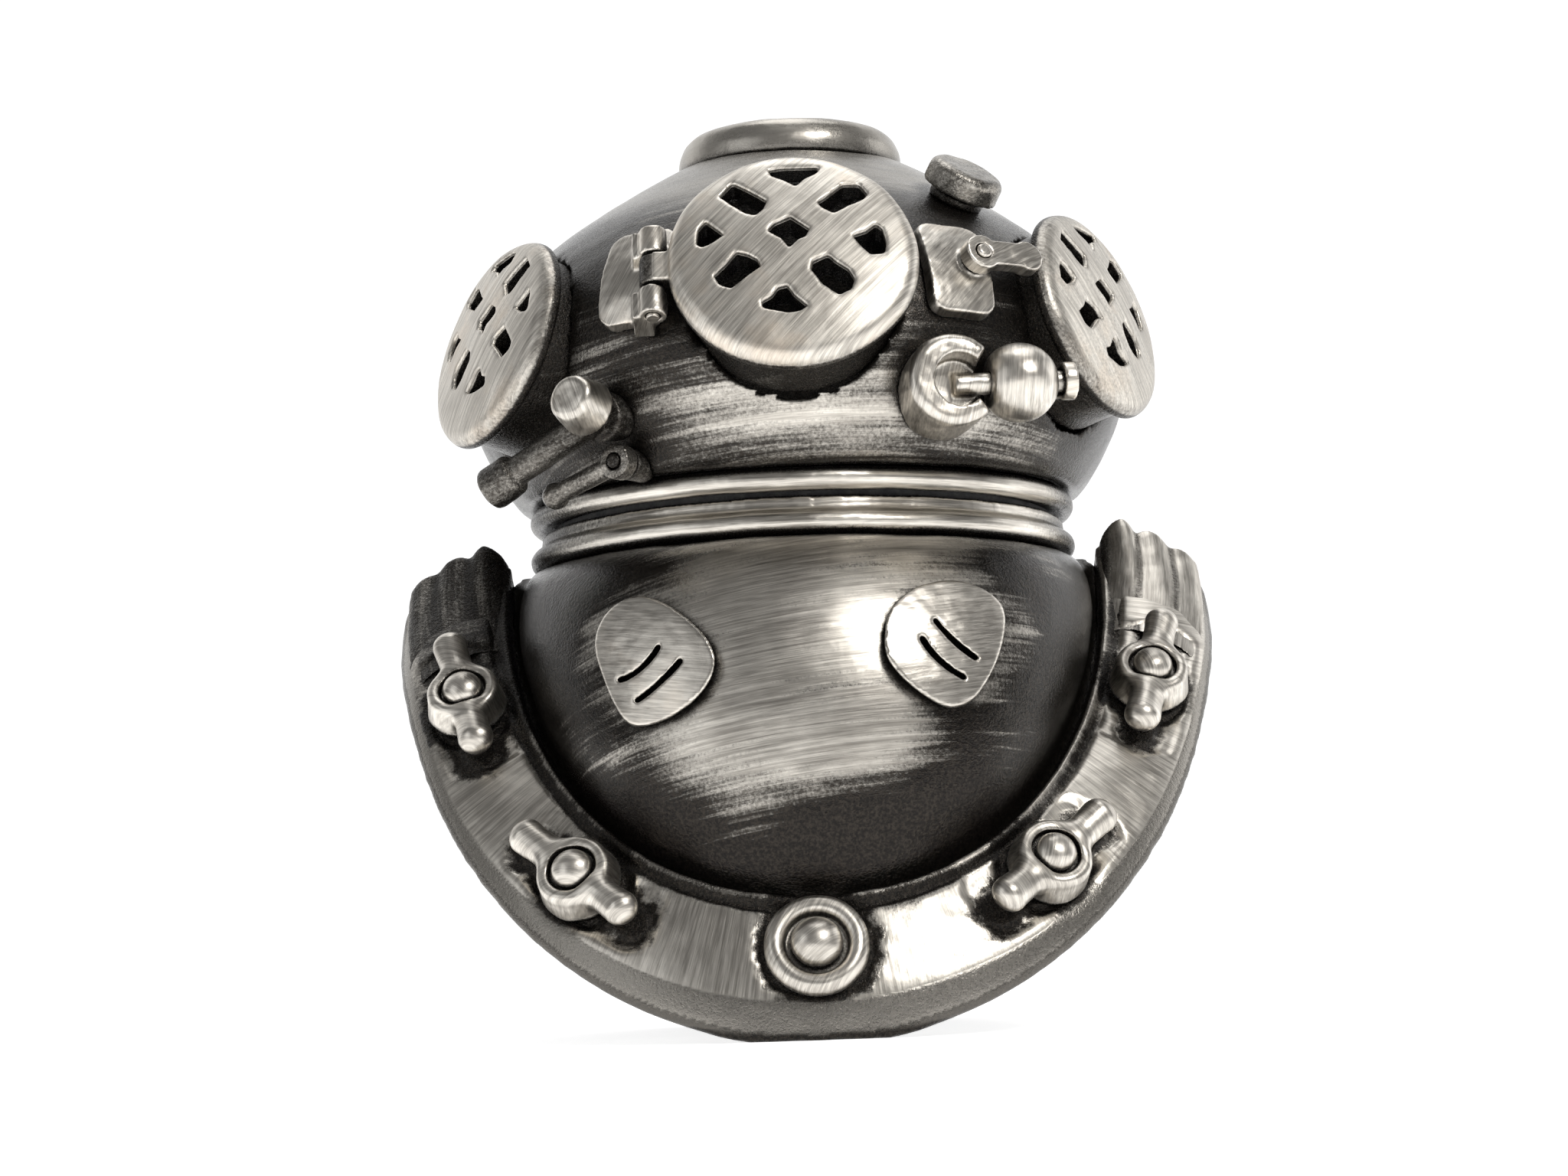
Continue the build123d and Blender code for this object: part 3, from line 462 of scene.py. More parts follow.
def antique(name, ao_mm=1.6, ao_lo=0.30, ao_hi=0.86, stroke=0.5, rough=0.34, warm=0.0, gritty=0.75, gloss=(0.16, 0.36)):
    # worn bright metal on the raised parts over a near-black patina in the recesses, which also carries painted shade
    # and painted highlights set per piece.
    # "brush" holds each point's place along, across and off the brushing direction in mm; the darkness attribute holds
    # how far it is left dark, by patina and by painted shade
    mat = bpy.data.materials.new(name)
    N = Net(mat)
    br = N.new("ShaderNodeAttribute", attribute_name="brush").outputs["Vector"]
    patina_shade = N.new("ShaderNodeAttribute", attribute_name="patina_and_shade").outputs["Fac"]
    plain = N.new("ShaderNodeAttribute", attribute_name="plain").outputs["Fac"]
    marked = N.math("SUBTRACT", 1.0, plain)
    tc = N.new("ShaderNodeTexCoord").outputs["Object"]
    mm = N.vmath("MULTIPLY", tc, (1000.0, 1000.0, 1000.0))
    ao = N.new("ShaderNodeAmbientOcclusion", samples=8)
    ao.inputs["Distance"].default_value = ao_mm * MM
    aov = N.remap(ao.outputs["AO"], ao_lo, ao_hi, 1.0, 0.0)

    fine = N.noise(N.vmath("MULTIPLY", br, (0.10, 3.6, 0.5)), 1.0, 4.0, 0.62)
    wide = N.noise(N.vmath("MULTIPLY", br, (0.045, 1.0, 0.25)), 1.0, 3.0, 0.6, 0.4)
    hair = N.noise(N.vmath("MULTIPLY", br, (0.35, 11.0, 1.0)), 1.0, 2.0, 0.6)
    cloud = N.noise(mm, 0.16, 3.0, 0.6)
    pits = N.noise(mm, 3.4, 2.0, 0.7)
    grain = N.noise(mm, 5.5, 2.0, 0.75)

    # how dark: patina and painted shade from the darkness attribute, and crevices, broken up by the brush strokes and
    # pits
    strokes = N.math("ADD", N.math("MULTIPLY", N.math("SUBTRACT", fine, 0.5), 0.95 * stroke),
                     N.math("MULTIPLY", N.math("SUBTRACT", wide, 0.5), 1.1 * stroke))
    blot = N.math("MULTIPLY", N.math("SUBTRACT", cloud, 0.5), 0.45)
    ragged = N.math("MULTIPLY", N.math("SUBTRACT", pits, 0.5), 0.55)
    d0 = N.math("ADD", patina_shade, N.math("MULTIPLY", aov, 0.95))
    d1 = N.math("ADD", d0, N.math("MULTIPLY", marked, N.math("ADD", strokes, N.math("ADD", blot, ragged))))
    dark = N.remap(d1, 0.14, 0.76)

    tone = N.math("ADD", N.math("MULTIPLY", fine, 0.55), N.math("ADD", N.math("MULTIPLY", hair, 0.30), N.math("MULTIPLY", cloud, 0.30)))
    bright = N.mix(N.mixf(plain, N.remap(tone, 0.42, 0.74), 0.45), SILVER_LO, SILVER_HI)
    if warm:
        bright = N.mix(N.math("MULTIPLY", N.remap(cloud, 0.52, 0.72), warm), bright, (0.62, 0.50, 0.38, 1))
    black = N.mix(N.remap(pits, 0.35, 0.7), PATINA_SHADE_BLACK, PATINA_SHADE_WARM)
    col = N.mix(dark, bright, black)

    r = N.math("ADD", rough, N.math("MULTIPLY", N.math("SUBTRACT", hair, 0.5), 0.22))
    r = N.mixf(dark, r, N.remap(grain, 0.35, 0.65, gloss[0], gloss[1]))
    met = N.mixf(dark, 1.0, 0.75)

    b1 = N.bump(N.math("MULTIPLY", marked, N.math("ADD", N.math("MULTIPLY", fine, 0.6), N.math("MULTIPLY", hair, 0.4))), 0.32, 0.035)
    grainy = N.math("MULTIPLY", N.math("ADD", grain, N.math("MULTIPLY", pits, 1.4)), N.remap(d0, 0.25, 0.9, 0.05, 1.0))
    b2 = N.bump(grainy, gritty, 0.11, b1)
    b3 = N.bump(N.noise(mm, 0.55, 2.0, 0.5), 0.35, 0.10, b2)
    N.finish(**{"Base Color": col, "Metallic": met, "Roughness": r, "Normal": b3, "Specular IOR Level": 0.3})
    return mat


def rubber(name):
    mat = bpy.data.materials.new(name)
    N = Net(mat)
    mm = N.vmath("MULTIPLY", N.new("ShaderNodeTexCoord").outputs["Object"], (1000.0,) * 3)
    a, b = N.noise(mm, 0.7, 4.0), N.noise(mm, 6.0, 2.0)
    col = N.mix(N.remap(a, 0.35, 0.7), (0.016, 0.016, 0.017, 1), (0.045, 0.044, 0.042, 1))
    N.finish(**{"Base Color": col, "Roughness": N.remap(b, 0.3, 0.7, 0.55, 0.8), "Normal": N.bump(b, 0.4, 0.05)})
    return mat


def plastic(name, c0, c1, trans=0.0):
    mat = bpy.data.materials.new(name)
    N = Net(mat)
    mm = N.vmath("MULTIPLY", N.new("ShaderNodeTexCoord").outputs["Object"], (1000.0,) * 3)
    a, b = N.noise(mm, 0.35, 4.0), N.noise(mm, 3.5, 3.0)
    col = N.mix(N.remap(a, 0.35, 0.7), c0, c1)
    N.finish(**{"Base Color": col, "Roughness": N.remap(b, 0.3, 0.7, 0.3, 0.5), "Normal": N.bump(b, 0.25, 0.03),
                "Transmission Weight": trans})
    return mat


def mineral(name):
    mat = bpy.data.materials.new(name)
    N = Net(mat)
    mm = N.vmath("MULTIPLY", N.new("ShaderNodeTexCoord").outputs["Object"], (1000.0,) * 3)
    v = N.new("ShaderNodeTexVoronoi", feature="F1")
    N.link(mm, v.inputs["Vector"])
    v.inputs["Scale"].default_value = 1.6
    a = N.noise(mm, 2.4, 4.0, 0.7)
    col = N.mix(N.remap(a, 0.3, 0.7), (0.16, 0.20, 0.26, 1), (0.46, 0.52, 0.60, 1))
    col = N.mix(N.remap(v.outputs["Distance"], 0.1, 0.7), col, (0.07, 0.09, 0.12, 1))
    N.finish(**{"Base Color": col, "Roughness": 0.85,
                "Normal": N.bump(v.outputs["Distance"], 0.9, 0.25, N.bump(a, 0.6, 0.12))})
    return mat


M_SHELL = antique("antique_shell", ao_mm=2.2, stroke=0.85, rough=0.36, gritty=0.34, gloss=(0.12, 0.26))
M_DOME = antique("antique_bonnet", ao_mm=2.4, stroke=0.80, rough=0.36, gritty=0.42, gloss=(0.13, 0.28))
M_BRAIL = antique("antique_brail", ao_mm=1.7, stroke=0.50, rough=0.34)
M_RING = antique("antique_ring", ao_mm=1.5, stroke=0.45, rough=0.34)
M_GUARD = antique("antique_guard", ao_mm=1.3, ao_lo=0.22, ao_hi=0.66, stroke=0.26, rough=0.42, warm=0.40)
M_FIT = antique("antique_fitting", ao_mm=1.3, ao_lo=0.26, ao_hi=0.74, stroke=0.36, rough=0.33, warm=0.25)
M_NUT = antique("antique_nut", ao_mm=1.0, ao_lo=0.28, ao_hi=0.72, stroke=0.34, rough=0.35)
M_INNER = antique("inner_cast", ao_mm=3.0, stroke=0.3, rough=0.42)
M_RUBBER = rubber("neck_rubber")
M_PIPE = plastic("pipe_black", (0.030, 0.031, 0.034, 1), (0.075, 0.077, 0.082, 1))
M_CUP = plastic("cup_plastic", (0.018, 0.019, 0.021, 1), (0.05, 0.052, 0.056, 1))
M_STONE = mineral("air_stone_grit")


# ------------------------------------------------------------------ pieces
def give(me, name, brush, patina_and_shade, mat, body, node, plain=None):
    n = len(me.vertices)
    if plain is not None:
        a = me.attributes.new("plain", "FLOAT", "POINT")
        a.data.foreach_set("value", np.clip(np.asarray(plain, np.float32), 0.0, 1.0).reshape(n))
    a = me.attributes.new("brush", "FLOAT_VECTOR", "POINT")
    a.data.foreach_set("vector", np.asarray(brush, np.float32).reshape(n, 3).ravel())
    # darkness per point: patina, and on some pieces painted shade and painted highlights
    a = me.attributes.new("patina_and_shade", "FLOAT", "POINT")
    a.data.foreach_set("value", np.clip(np.asarray(patina_and_shade, np.float32), -0.6, 1.4).reshape(n))
    me.materials.clear()
    me.materials.append(mat)
    me.polygons.foreach_set("material_index", np.zeros(len(me.polygons), np.int32))
    me.polygons.foreach_set("use_smooth", np.ones(len(me.polygons), bool))
    me.update()
    o = bpy.data.objects.new(name, me)
    COLL.objects.link(o)
    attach(o, body)
    for nd in ([node] if isinstance(node, str) else node):
        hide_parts(nd)
    return o


def circ(p, z_along=False):
    # brushed round the upright axis
    # folded at the sides, so that it has no seam at the back
    a = np.arctan2(p[:, 0], -p[:, 1])
    a = np.where(np.abs(a) > math.pi / 2, np.sign(a) * (math.pi - np.abs(a)), a)
    return np.stack([a * 28.0, p[:, 2], np.hypot(p[:, 0], p[:, 1])], 1)


def local_brush(p, pl, deg):
    q = to_local(p, pl)
    c, s = math.cos(math.radians(deg)), math.sin(math.radians(deg))
    return np.stack([q[:, 0] * c + q[:, 1] * s, -q[:, 0] * s + q[:, 1] * c, q[:, 2]], 1)


def wobble(me, amp, scale, seed, fine=0.0):
    co, nr = coords(me), normals(me)
    d = amp * vnoise(co, scale, seed) + amp * 0.4 * vnoise(co, scale * 0.4, seed + 5)
    if fine:
        d = d + fine * vnoise(co, 0.45, seed + 9)
    set_coords(me, co + nr * d[:, None])


def cast_copy(node, voxel, times, amp, scale=4.0, seed=1, fine=0.0):
    me = remeshed(welded(node), voxel)
    smooth(me, times)
    wobble(me, amp, scale, seed, fine)
    return me


# --- front and side guards: hand-cut openings in a crowned disc
def outline(pts, cx=730.0, cy=820.0, kx=58.5, ky=49.6):
    return [((x - cx) / kx, -(y - cy) / ky) for x, y in pts]


CUTS = [
    [(617, 378), (690, 366), (885, 368), (868, 402), (802, 436), (758, 478), (700, 443), (632, 412)],
    [(430, 440), (520, 500), (605, 562), (583, 610), (545, 640), (500, 630), (420, 570), (360, 515)],
    [(865, 582), (905, 556), (1000, 475), (1085, 473), (1127, 530), (1100, 562), (1010, 606), (950, 642), (893, 612)],
    [(725, 660), (762, 688), (820, 730), (795, 772), (760, 786), (713, 830), (678, 780), (605, 732), (640, 696)],
    [(285, 650), (322, 682), (380, 735), (320, 772), (265, 790), (238, 770), (248, 690)],
    [(1160, 700), (1195, 722), (1212, 800), (1200, 852), (1130, 862), (1085, 822), (1040, 765), (1108, 742)],
    [(445, 835), (500, 852), (548, 882), (566, 920), (520, 945), (410, 1018), (350, 992), (325, 945), (382, 900)],
    [(910, 870), (945, 902), (1012, 945), (1040, 992), (1020, 1042), (960, 1072), (880, 1022), (820, 945), (832, 905)],
    [(650, 1030), (697, 1022), (730, 1070), (797, 1125), (760, 1147), (700, 1155), (570, 1127), (565, 1095), (620, 1070)],
]
CUTS = [outline(c) for c in CUTS]


def cut_list(scale, turn, shift, jitter):
    cuts = []
    c, s = math.cos(math.radians(turn)), math.sin(math.radians(turn))
    for i, poly in enumerate(CUTS):
        rng = np.random.RandomState(jitter * 31 + i) if jitter else None
        pts = []
        for x, y in poly:
            if rng is not None:
                x, y = x + rng.uniform(-0.22, 0.22), y + rng.uniform(-0.22, 0.22)
            if jitter % 2:
                x = -x
            x, y = x * scale, y * scale
            pts.append((x * c - y * s, x * s + y * c + shift))
        cuts.append(pts)
    return cuts


def guard_sdf(R, w0, thick, crown, scale, turn, shift, hinge=False, jitter=0):
    cuts = cut_list(scale, turn, shift, jitter)

    def f(X, Y, Z):
        r = np.hypot(X, Y)
        p = np.stack([X.ravel(), Y.ravel(), Z.ravel()], 1)
        edge = r - R + 0.10 * vnoise(p * np.array([1, 1, 0.2]), 4.5, 3 + jitter).reshape(X.shape)
        top = w0 + thick + crown * (1 - (r / R) ** 2) + 0.07 * vnoise(p * np.array([1, 1, 0.0]), 3.0, 8 + jitter).reshape(X.shape)
        d = smax(smax(edge, Z - top, 1.5), w0 - Z, 0.5)
        hole = np.full(X.shape[:2], 1e9)
        for pts in cuts:
            hole = np.minimum(hole, poly_sd(X[:, :, 0], Y[:, :, 0], pts) + 0.0)
        d = smax(d, -hole[:, :, None], 0.22)
        if hinge:
            HU, HW, HR = -12.45, 0.2, 1.22
            knuckle = np.maximum(np.hypot(X - HU, Z - HW) - HR, np.abs(Y) - 1.48)
            lug = np.maximum(np.maximum(np.abs(X - (HU - 10.3) / 2) - abs(HU + 10.3) / 2, np.abs(Y) - 1.48), np.abs(Z - 0.75) - 0.93)
            d = smin(d, np.minimum(knuckle, lug), 0.25)
            d = np.maximum(d, -(np.hypot(X - HU, Z - HW) - 0.66))
        return d
    return f


def make_guard(name, node, pl, body, R, w0, thick, crown, scale, turn, shift, deg, hinge=False, jitter=0, painted_shade=0.0):
    h = 0.17
    lo = (-14.2 if hinge else -R - 0.6, -R - 0.6, w0 - 1.5 if hinge else w0 - 0.5)
    v, q = surface_net(guard_sdf(R, w0, thick, crown, scale, turn, shift, hinge, jitter), lo, (R + 0.6, R + 0.6, w0 + thick + crown + 0.7), h)
    loc = v.copy()
    me = mesh_from(name, to_world(v, pl), q)
    smooth(me, 2, 0.4)
    r = np.hypot(loc[:, 0], loc[:, 1])
    side = step(-(loc[:, 2] - (w0 + thick * 0.62)), 0.0, 0.6)
    # the last argument darkens a whole side guard as painted shade
    patina_shade = painted_shade - 0.20 + 0.62 * side + 0.22 * step(r, R - 1.1, R) + 0.9 * step(-(loc[:, 2] - w0), -0.25, 0.0)
    p = coords(me)
    # walls of the openings stay black
    cuts = cut_list(scale, turn, shift, jitter)
    hole = np.full(len(loc), 1e9)
    for pts in cuts:
        hole = np.minimum(hole, poly_sd(loc[:, 0], loc[:, 1], pts))
    below = (w0 + thick + crown * (1 - (r / R) ** 2)) - loc[:, 2]
    patina_shade = patina_shade + 1.2 * step(-hole, -0.42, 0.02) * step(below, 0.28, 0.62)
    return give(me, name, local_brush(p, pl, deg), patina_shade, M_GUARD, body, node)


make_guard("front_port_guard_cast", "front_port_guard", PF, BODY["front_port_guard"], 11.15, 0.62, 2.0, 1.25, 1.0, 0, 0.0, 48, hinge=True)
# the side guards are darkened as a whole, painted shade
make_guard("left_port_guard_cast", "left_port_guard", PL, BODY["left_port_guard"], 10.15, 0.36, 1.7, 1.05, 0.90, 4, 0.3, 60, jitter=1, painted_shade=0.36)
make_guard("right_port_guard_cast", "right_port_guard", PR, BODY["right_port_guard"], 10.15, 0.36, 1.7, 1.05, 0.90, -5, 0.3, 120, jitter=2, painted_shade=0.46)


def top_guard():
    cuts = [[(x * 0.72, y * 0.72) for x, y in poly] for poly in CUTS]

    def f(X, Y, Z):
        r = np.hypot(X, Y)
        d = smax(smax(r - 8.42, Z - 1.08, 0.3), 0.02 - Z, 0.2)
        hole = np.full(X.shape[:2], 1e9)
        for pts in cuts:
            hole = np.minimum(hole, poly_sd(X[:, :, 0], Y[:, :, 0], pts) + 0.05)
        return smax(d, -hole[:, :, None], 0.35)
    v, q = surface_net(f, (-8.9, -8.9, -0.4), (8.9, 8.9, 1.6), 0.18)
    me = mesh_from("top_port_guard_cast", to_world(v, PT), q)
    smooth(me, 1, 0.4)
    p = coords(me)
    give(me, "top_port_guard_cast", local_brush(p, PT, 40), np.full(len(p), -0.05), M_GUARD, BODY["top_port_guard"], "top_port_guard")


top_guard()


# --- wing nuts, round nuts and stud heads
def wing_nut_sdf(seed):
    rng = np.random.RandomState(seed)
    ua, ub = 6.3 + rng.uniform(-0.15, 0.05), 6.3 + rng.uniform(-0.15, 0.05)
    ra, rb = 1.42 + rng.uniform(-0.06, 0.03), 1.42 + rng.uniform(-0.06, 0.03)

    def f(X, Y, Z):
        r = np.hypot(X, Y)
        R = 3.75 - 0.17 * Z
        boss = smax(smax(r - R, Z - 2.98, 0.9), 0.08 - Z, 0.3)
        lip = np.hypot(r - 2.78, Z - 2.62) - 0.42
        boss = smin(boss, lip, 0.5)

        def cap(u0, u1, rad, z0, z1, swell):
            t = np.clip((X - u0) / (u1 - u0), 0, 1)
            cx, cz = u0 + (u1 - u0) * t, z0 + (z1 - z0) * t
            return np.sqrt((X - cx) ** 2 + (Y * 0.94) ** 2 + ((Z - cz) * 1.05) ** 2) - (rad + swell * t ** 3)
        w = np.minimum(cap(2.3, ub, rb, 1.95, 2.42, 0.12), cap(-2.3, -ua, ra, 1.95, 2.42, 0.12))
        w = smax(w, 0.98 - Z, 0.3)
        d = smin(boss, w, 0.9)
        d = smax(d, -smax(r - 2.17, 2.36 - Z, 0.1), 0.15)
        d = np.maximum(d, -(r - 1.32))
        p = np.stack([X.ravel(), Y.ravel(), Z.ravel()], 1)
        return d + 0.07 * vnoise(p, 1.9, seed).reshape(X.shape)
    return f


def round_nut_sdf(seed):
    def f(X, Y, Z):
        r = np.hypot(X, Y)
        d = smax(smax(r - 4.45, Z - 1.30, 0.8), 0.08 - Z, 0.3)
        ring = np.sqrt((r - 3.55) ** 2 + ((Z - 1.0) * 1.0) ** 2) - 0.88
        d = smin(d, ring, 0.35)
        d = smax(d, -smax(r - 2.72, 0.85 - Z, 0.1), 0.2)
        d = np.maximum(d, -(r - 1.32))
        p = np.stack([X.ravel(), Y.ravel(), Z.ravel()], 1)
        return d + 0.05 * vnoise(p, 2.2, seed).reshape(X.shape)
    return f


def head_sdf(head, z0, top, seed):
    def f(X, Y, Z):
        r = np.hypot(X, Y)
        ball = (head ** 2 + (top - z0 - 0.25) ** 2) / (2 * (top - z0 - 0.25))
        dome = np.sqrt(r ** 2 + (Z - (top - ball)) ** 2) - ball
        h = smax(smax(dome, r - head, 0.5), z0 - Z, 0.25)
        stem = np.maximum(r - 1.22, np.maximum(-2.6 - Z, Z - z0 - 0.4))
        d = np.minimum(h, stem)
        p = np.stack([X.ravel(), Y.ravel(), Z.ravel()], 1)
        return d + 0.03 * vnoise(p, 1.3, seed).reshape(X.shape)
    return f


heads = []
for i, (key, pl) in enumerate(sorted(PLACES.items())):
    centre = key.endswith("centre")
    h = 0.15
    if centre:
        v, q = surface_net(round_nut_sdf(40 + i), (-5.2, -5.2, -0.3), (5.2, 5.2, 2.6), h)
        node = key.replace("centre", "round_nut")
    else:
        v, q = surface_net(wing_nut_sdf(20 + i), (-9.0, -4.6, -0.3), (9.0, 4.6, 4.2), h)
        node = key + "_wing_nut"
    me = mesh_from(node + "_cast", to_world(v, pl), q)
    smooth(me, 1, 0.4)
    r = np.hypot(v[:, 0], v[:, 1])
    patina_shade = -0.20 + 0.75 * step(-(v[:, 2]), -1.1, -0.2) + (0.5 * gauss(r - 2.25, 0.22) * (v[:, 2] > 0.4))
    # the upper left nuts are a little darker: painted shade
    if "upper_left" in key:
        patina_shade = patina_shade + 0.10
    p = coords(me)
    give(me, node + "_cast", local_brush(p, pl, 12 * ((i % 3) - 1) + 70), patina_shade, M_NUT, BODY[node], node)
    if centre:
        hv, hq = surface_net(head_sdf(2.36, 1.22, 3.3, 60 + i), (-3.0, -3.0, -3.0), (3.0, 3.0, 3.9), h)
    else:
        hv, hq = surface_net(head_sdf(1.98, 2.62, 4.2, 60 + i), (-2.6, -2.6, -3.0), (2.6, 2.6, 4.8), h)
    heads.append((to_world(hv, pl), hq, hv, pl))
v, q = joined([(a, b) for a, b, c, d in heads])
me = mesh_from("collar_studs_cast", v, q)
loc_z = np.concatenate([c[:, 2] for a, b, c, d in heads])
br = np.concatenate([local_brush(a, d, 35) for a, b, c, d in heads])
patina_shade = -0.30 + 1.1 * step(-loc_z, -1.4, -0.6)
give(me, "collar_studs_cast", br, patina_shade, M_NUT, BODY["collar_studs"], "collar_studs")

# --- collar castings: a fine bead along the groove, recesses round the nuts, soft edges
for side in ("front", "rear"):
    node = side + "_brail"
    me = remeshed(welded(node), 0.26)
    smooth(me, 9, 0.5)
    co = coords(me)
    t, n, ln = collar_tn(co)
    smooth(me, 36, 0.5, mask=step(t - ln, -1.9, -0.9) * step(co[:, 2], 0.3, 1.2))
    co, nr = coords(me), normals(me)
    t, n, ln = collar_tn(co)
    top = step(n, -1.0, -0.35)
    lift = 0.42 * gauss(t - 0.50, 0.36) - 0.34 * gauss(t - 1.38, 0.36)
    near = np.full(len(co), 1e9)
    for key, pl in PLACES.items():
        if key.startswith(side):
            d, h = nut_outline(co, pl, key.endswith("centre"))
            near = np.minimum(near, np.where(h > -3, np.abs(d) * (d > 0) , 1e9))
    rag = 0.35 * vnoise(co, 1.1, 4) + 0.25 * vnoise(co, 0.5, 6)
    inside = step(ln - t, 0.5, 1.6)
    lift = lift - 0.26 * step(-(near + rag), -1.5, -0.2) * (near > 0.02)
    # lower still where the wings sweep
    swept = np.full(len(co), 1e9)
    for key, (o, x, y, nn) in PLACES.items():
        if key.startswith(side) and not key.endswith("centre"):
            for deg in (-20, -10, 10, 20):
                x2 = x * math.cos(math.radians(deg)) + y * math.sin(math.radians(deg))
                d, h = nut_outline(co, (o, x2, np.cross(nn, x2), nn), False)
                swept = np.minimum(swept, np.where(h > -3, d, 1e9))
    clear = step(-swept, -0.9, 0.2)
    lift = np.minimum(lift, lift * (1 - clear)) - 0.30 * clear
    lift = (lift + 0.06 * vnoise(co, 3.6, 11) + 0.03 * vnoise(co, 1.2, 12)) * inside
    co = co + nr * (lift * top)[:, None]
    co[:, 2] = np.maximum(co[:, 2], 0.02)
    set_coords(me, co)
    smooth(me, 1, 0.3)
    p = coords(me)
    # dark close to the nuts and in the groove beside the bead; the upper left part is left dark as painted shade, and
    # the right side is lightened as a painted highlight
    patina_shade = np.full(len(p), 0.02)
    patina_shade += 0.85 * step(-(near + 1.5 * rag), -2.0, 0.1)
    patina_shade += 0.62 * step(-(t - 1.9), -0.2, 0.5) * (1 - 0.85 * gauss(t - 0.50, 0.26)) * top
    # painted shade on the upper left
    patina_shade += 0.50 * step(-p[:, 0], 18, 30) * step(p[:, 2], 18, 34)
    # painted highlight down the right side
    patina_shade -= 0.26 * step(p[:, 0], 14, 28) * gauss(p[:, 2] - 24, 11)
    patina_shade += 0.12 * gauss(np.abs(p[:, 0]) - 9, 9) * step(-p[:, 2], -16, -8)
    patina_shade += 0.40 * step(-(t - 2.9), 0.0, 1.4) * (0.5 + 0.5 * vnoise(p, 5.0, 23))
    patina_shade += 0.22 * vnoise(p, 6.5, 24)
    # the smooth wall under the rim is an even dark grey, painted as its darker reflection, below a soft bright edge
    wall = step(t - ln, -0.30, 0.15)
    patina_shade -= 0.16 * gauss(t - ln + 0.7, 0.45)
    patina_shade = patina_shade * (1 - wall) + 0.48 * wall
    patina_shade = np.where(n < -1.0, np.maximum(patina_shade, 0.6), patina_shade)
    ang = np.arctan2(p[:, 0], 44.0 - p[:, 2])
    rr = np.hypot(p[:, 0], 44.0 - p[:, 2])
    brush = np.stack([rr, ang * 34.0, p[:, 1] * 0.2], 1)
    give(me, node + "_cast", brush, patina_shade, M_BRAIL, BODY[node], node, wall)

# --- shoulder straps
for side, s in (("left", -1), ("right", 1)):
    node = side + "_shoulder_strap"
    me = cast_copy(node, 0.18, 4, 0.10, 2.2, 31 + s)
    p = coords(me)
    t, n, ln = collar_tn(p)
    az = np.degrees(np.arctan2(np.abs(p[:, 0]), np.abs(p[:, 1])))
    face = 1.4 * 4 * np.clip(t / ln, 0, 1) * (1 - np.clip(t / ln, 0, 1))
    over = np.maximum(n - face, 0.0) + 0.30 * step(-az, -81.0, -77.0)
    keep = -0.20 + (1.20 if side == "right" else 1.08) * step(az, 75.5, 90.0)
    p[:, 2] -= over * (1 - keep)
    set_coords(me, p)
    smooth(me, 12 if side == "right" else 26, 0.5, mask=step(n, 0.4, 1.2))
    p = coords(me)
    t, n, ln = collar_tn(p)
    u = t / ln
    groove = np.maximum(gauss(u - 0.325, 0.05), gauss(u - 0.672, 0.05)) + gauss(u - 0.03, 0.05)
    # the left strap is dark as painted shade and the right one bright as a painted highlight; the grooves hold patina
    patina_shade = np.full(len(p), 0.66 if side == "left" else 0.08) + (0.15 if side == "left" else 0.38) * groove
    patina_shade += 0.20 * step(-(u - 0.25), 0.0, 0.25)
    brush = np.stack([p[:, 1] + p[:, 2], u * 10.0, n], 1)
    give(me, node + "_cast", brush, patina_shade, M_BRAIL, BODY[node], node)

# --- breastplate dome
me = remeshed(welded("breastplate_shell"), 0.5)
smooth(me, 3, 0.5)
wobble(me, 0.07, 5.0, 3)
p, nr = coords(me), normals(me)
front = -p[:, 1]
outward = (nr[:, 0] * p[:, 0] + nr[:, 1] * p[:, 1]) / np.maximum(np.hypot(p[:, 0], p[:, 1]), 1e-6)
# painted highlight: a bright oval in the middle of the front, with painted shade darkening round it
e = np.hypot((p[:, 0] - 0.5 - 0.25 * (p[:, 2] - 36)) / 17.5, (p[:, 2] - 34.5) / 16.5)
# the same painted highlight on the rear
rear_painted_highlight = np.hypot(p[:, 0] / 18.0, (p[:, 2] - 36.5) / 15.0)
e = np.where(p[:, 1] > 0, rear_painted_highlight, e)
patina_shade = 0.04 + 0.90 * step(e, 0.50, 1.46)
for sx in (-1, 1):
    d = np.hypot(p[:, 0] - sx * 14.9, p[:, 2] - 34.0)
    patina_shade += 0.30 * gauss(d - 7.2, 1.7) * (p[:, 1] < 0) * (1.0 if sx > 0 else 0.6)
# painted shade darkens the lower part of the dome; the noise is random tone
patina_shade += 0.30 * step(-(p[:, 2] - 25.5), 0, 5) + 0.22 * vnoise(p, 6.0, 27)
patina_shade += np.where(outward < 0.1, 0.75, 0.0)
b = circ(p)
b[:, 1] += -0.15 * b[:, 0] + 0.006 * b[:, 0] ** 2
give(me, "breastplate_shell_cast", b, patina_shade, M_SHELL, BODY["breastplate_shell"], "breastplate_shell")

# --- bonnet dome
me = remeshed(welded("bonnet_shell"), 0.455)
smooth(me, 3, 0.5)
wobble(me, 0.08, 5.5, 5)
p, nr = coords(me), normals(me)
outward = (nr[:, 0] * p[:, 0] + nr[:, 1] * p[:, 1]) / np.maximum(np.hypot(p[:, 0], p[:, 1]), 1e-6)
az = np.degrees(np.arctan2(p[:, 0], -p[:, 1]))
fa = np.abs(((az + 180) % 180) - 90)
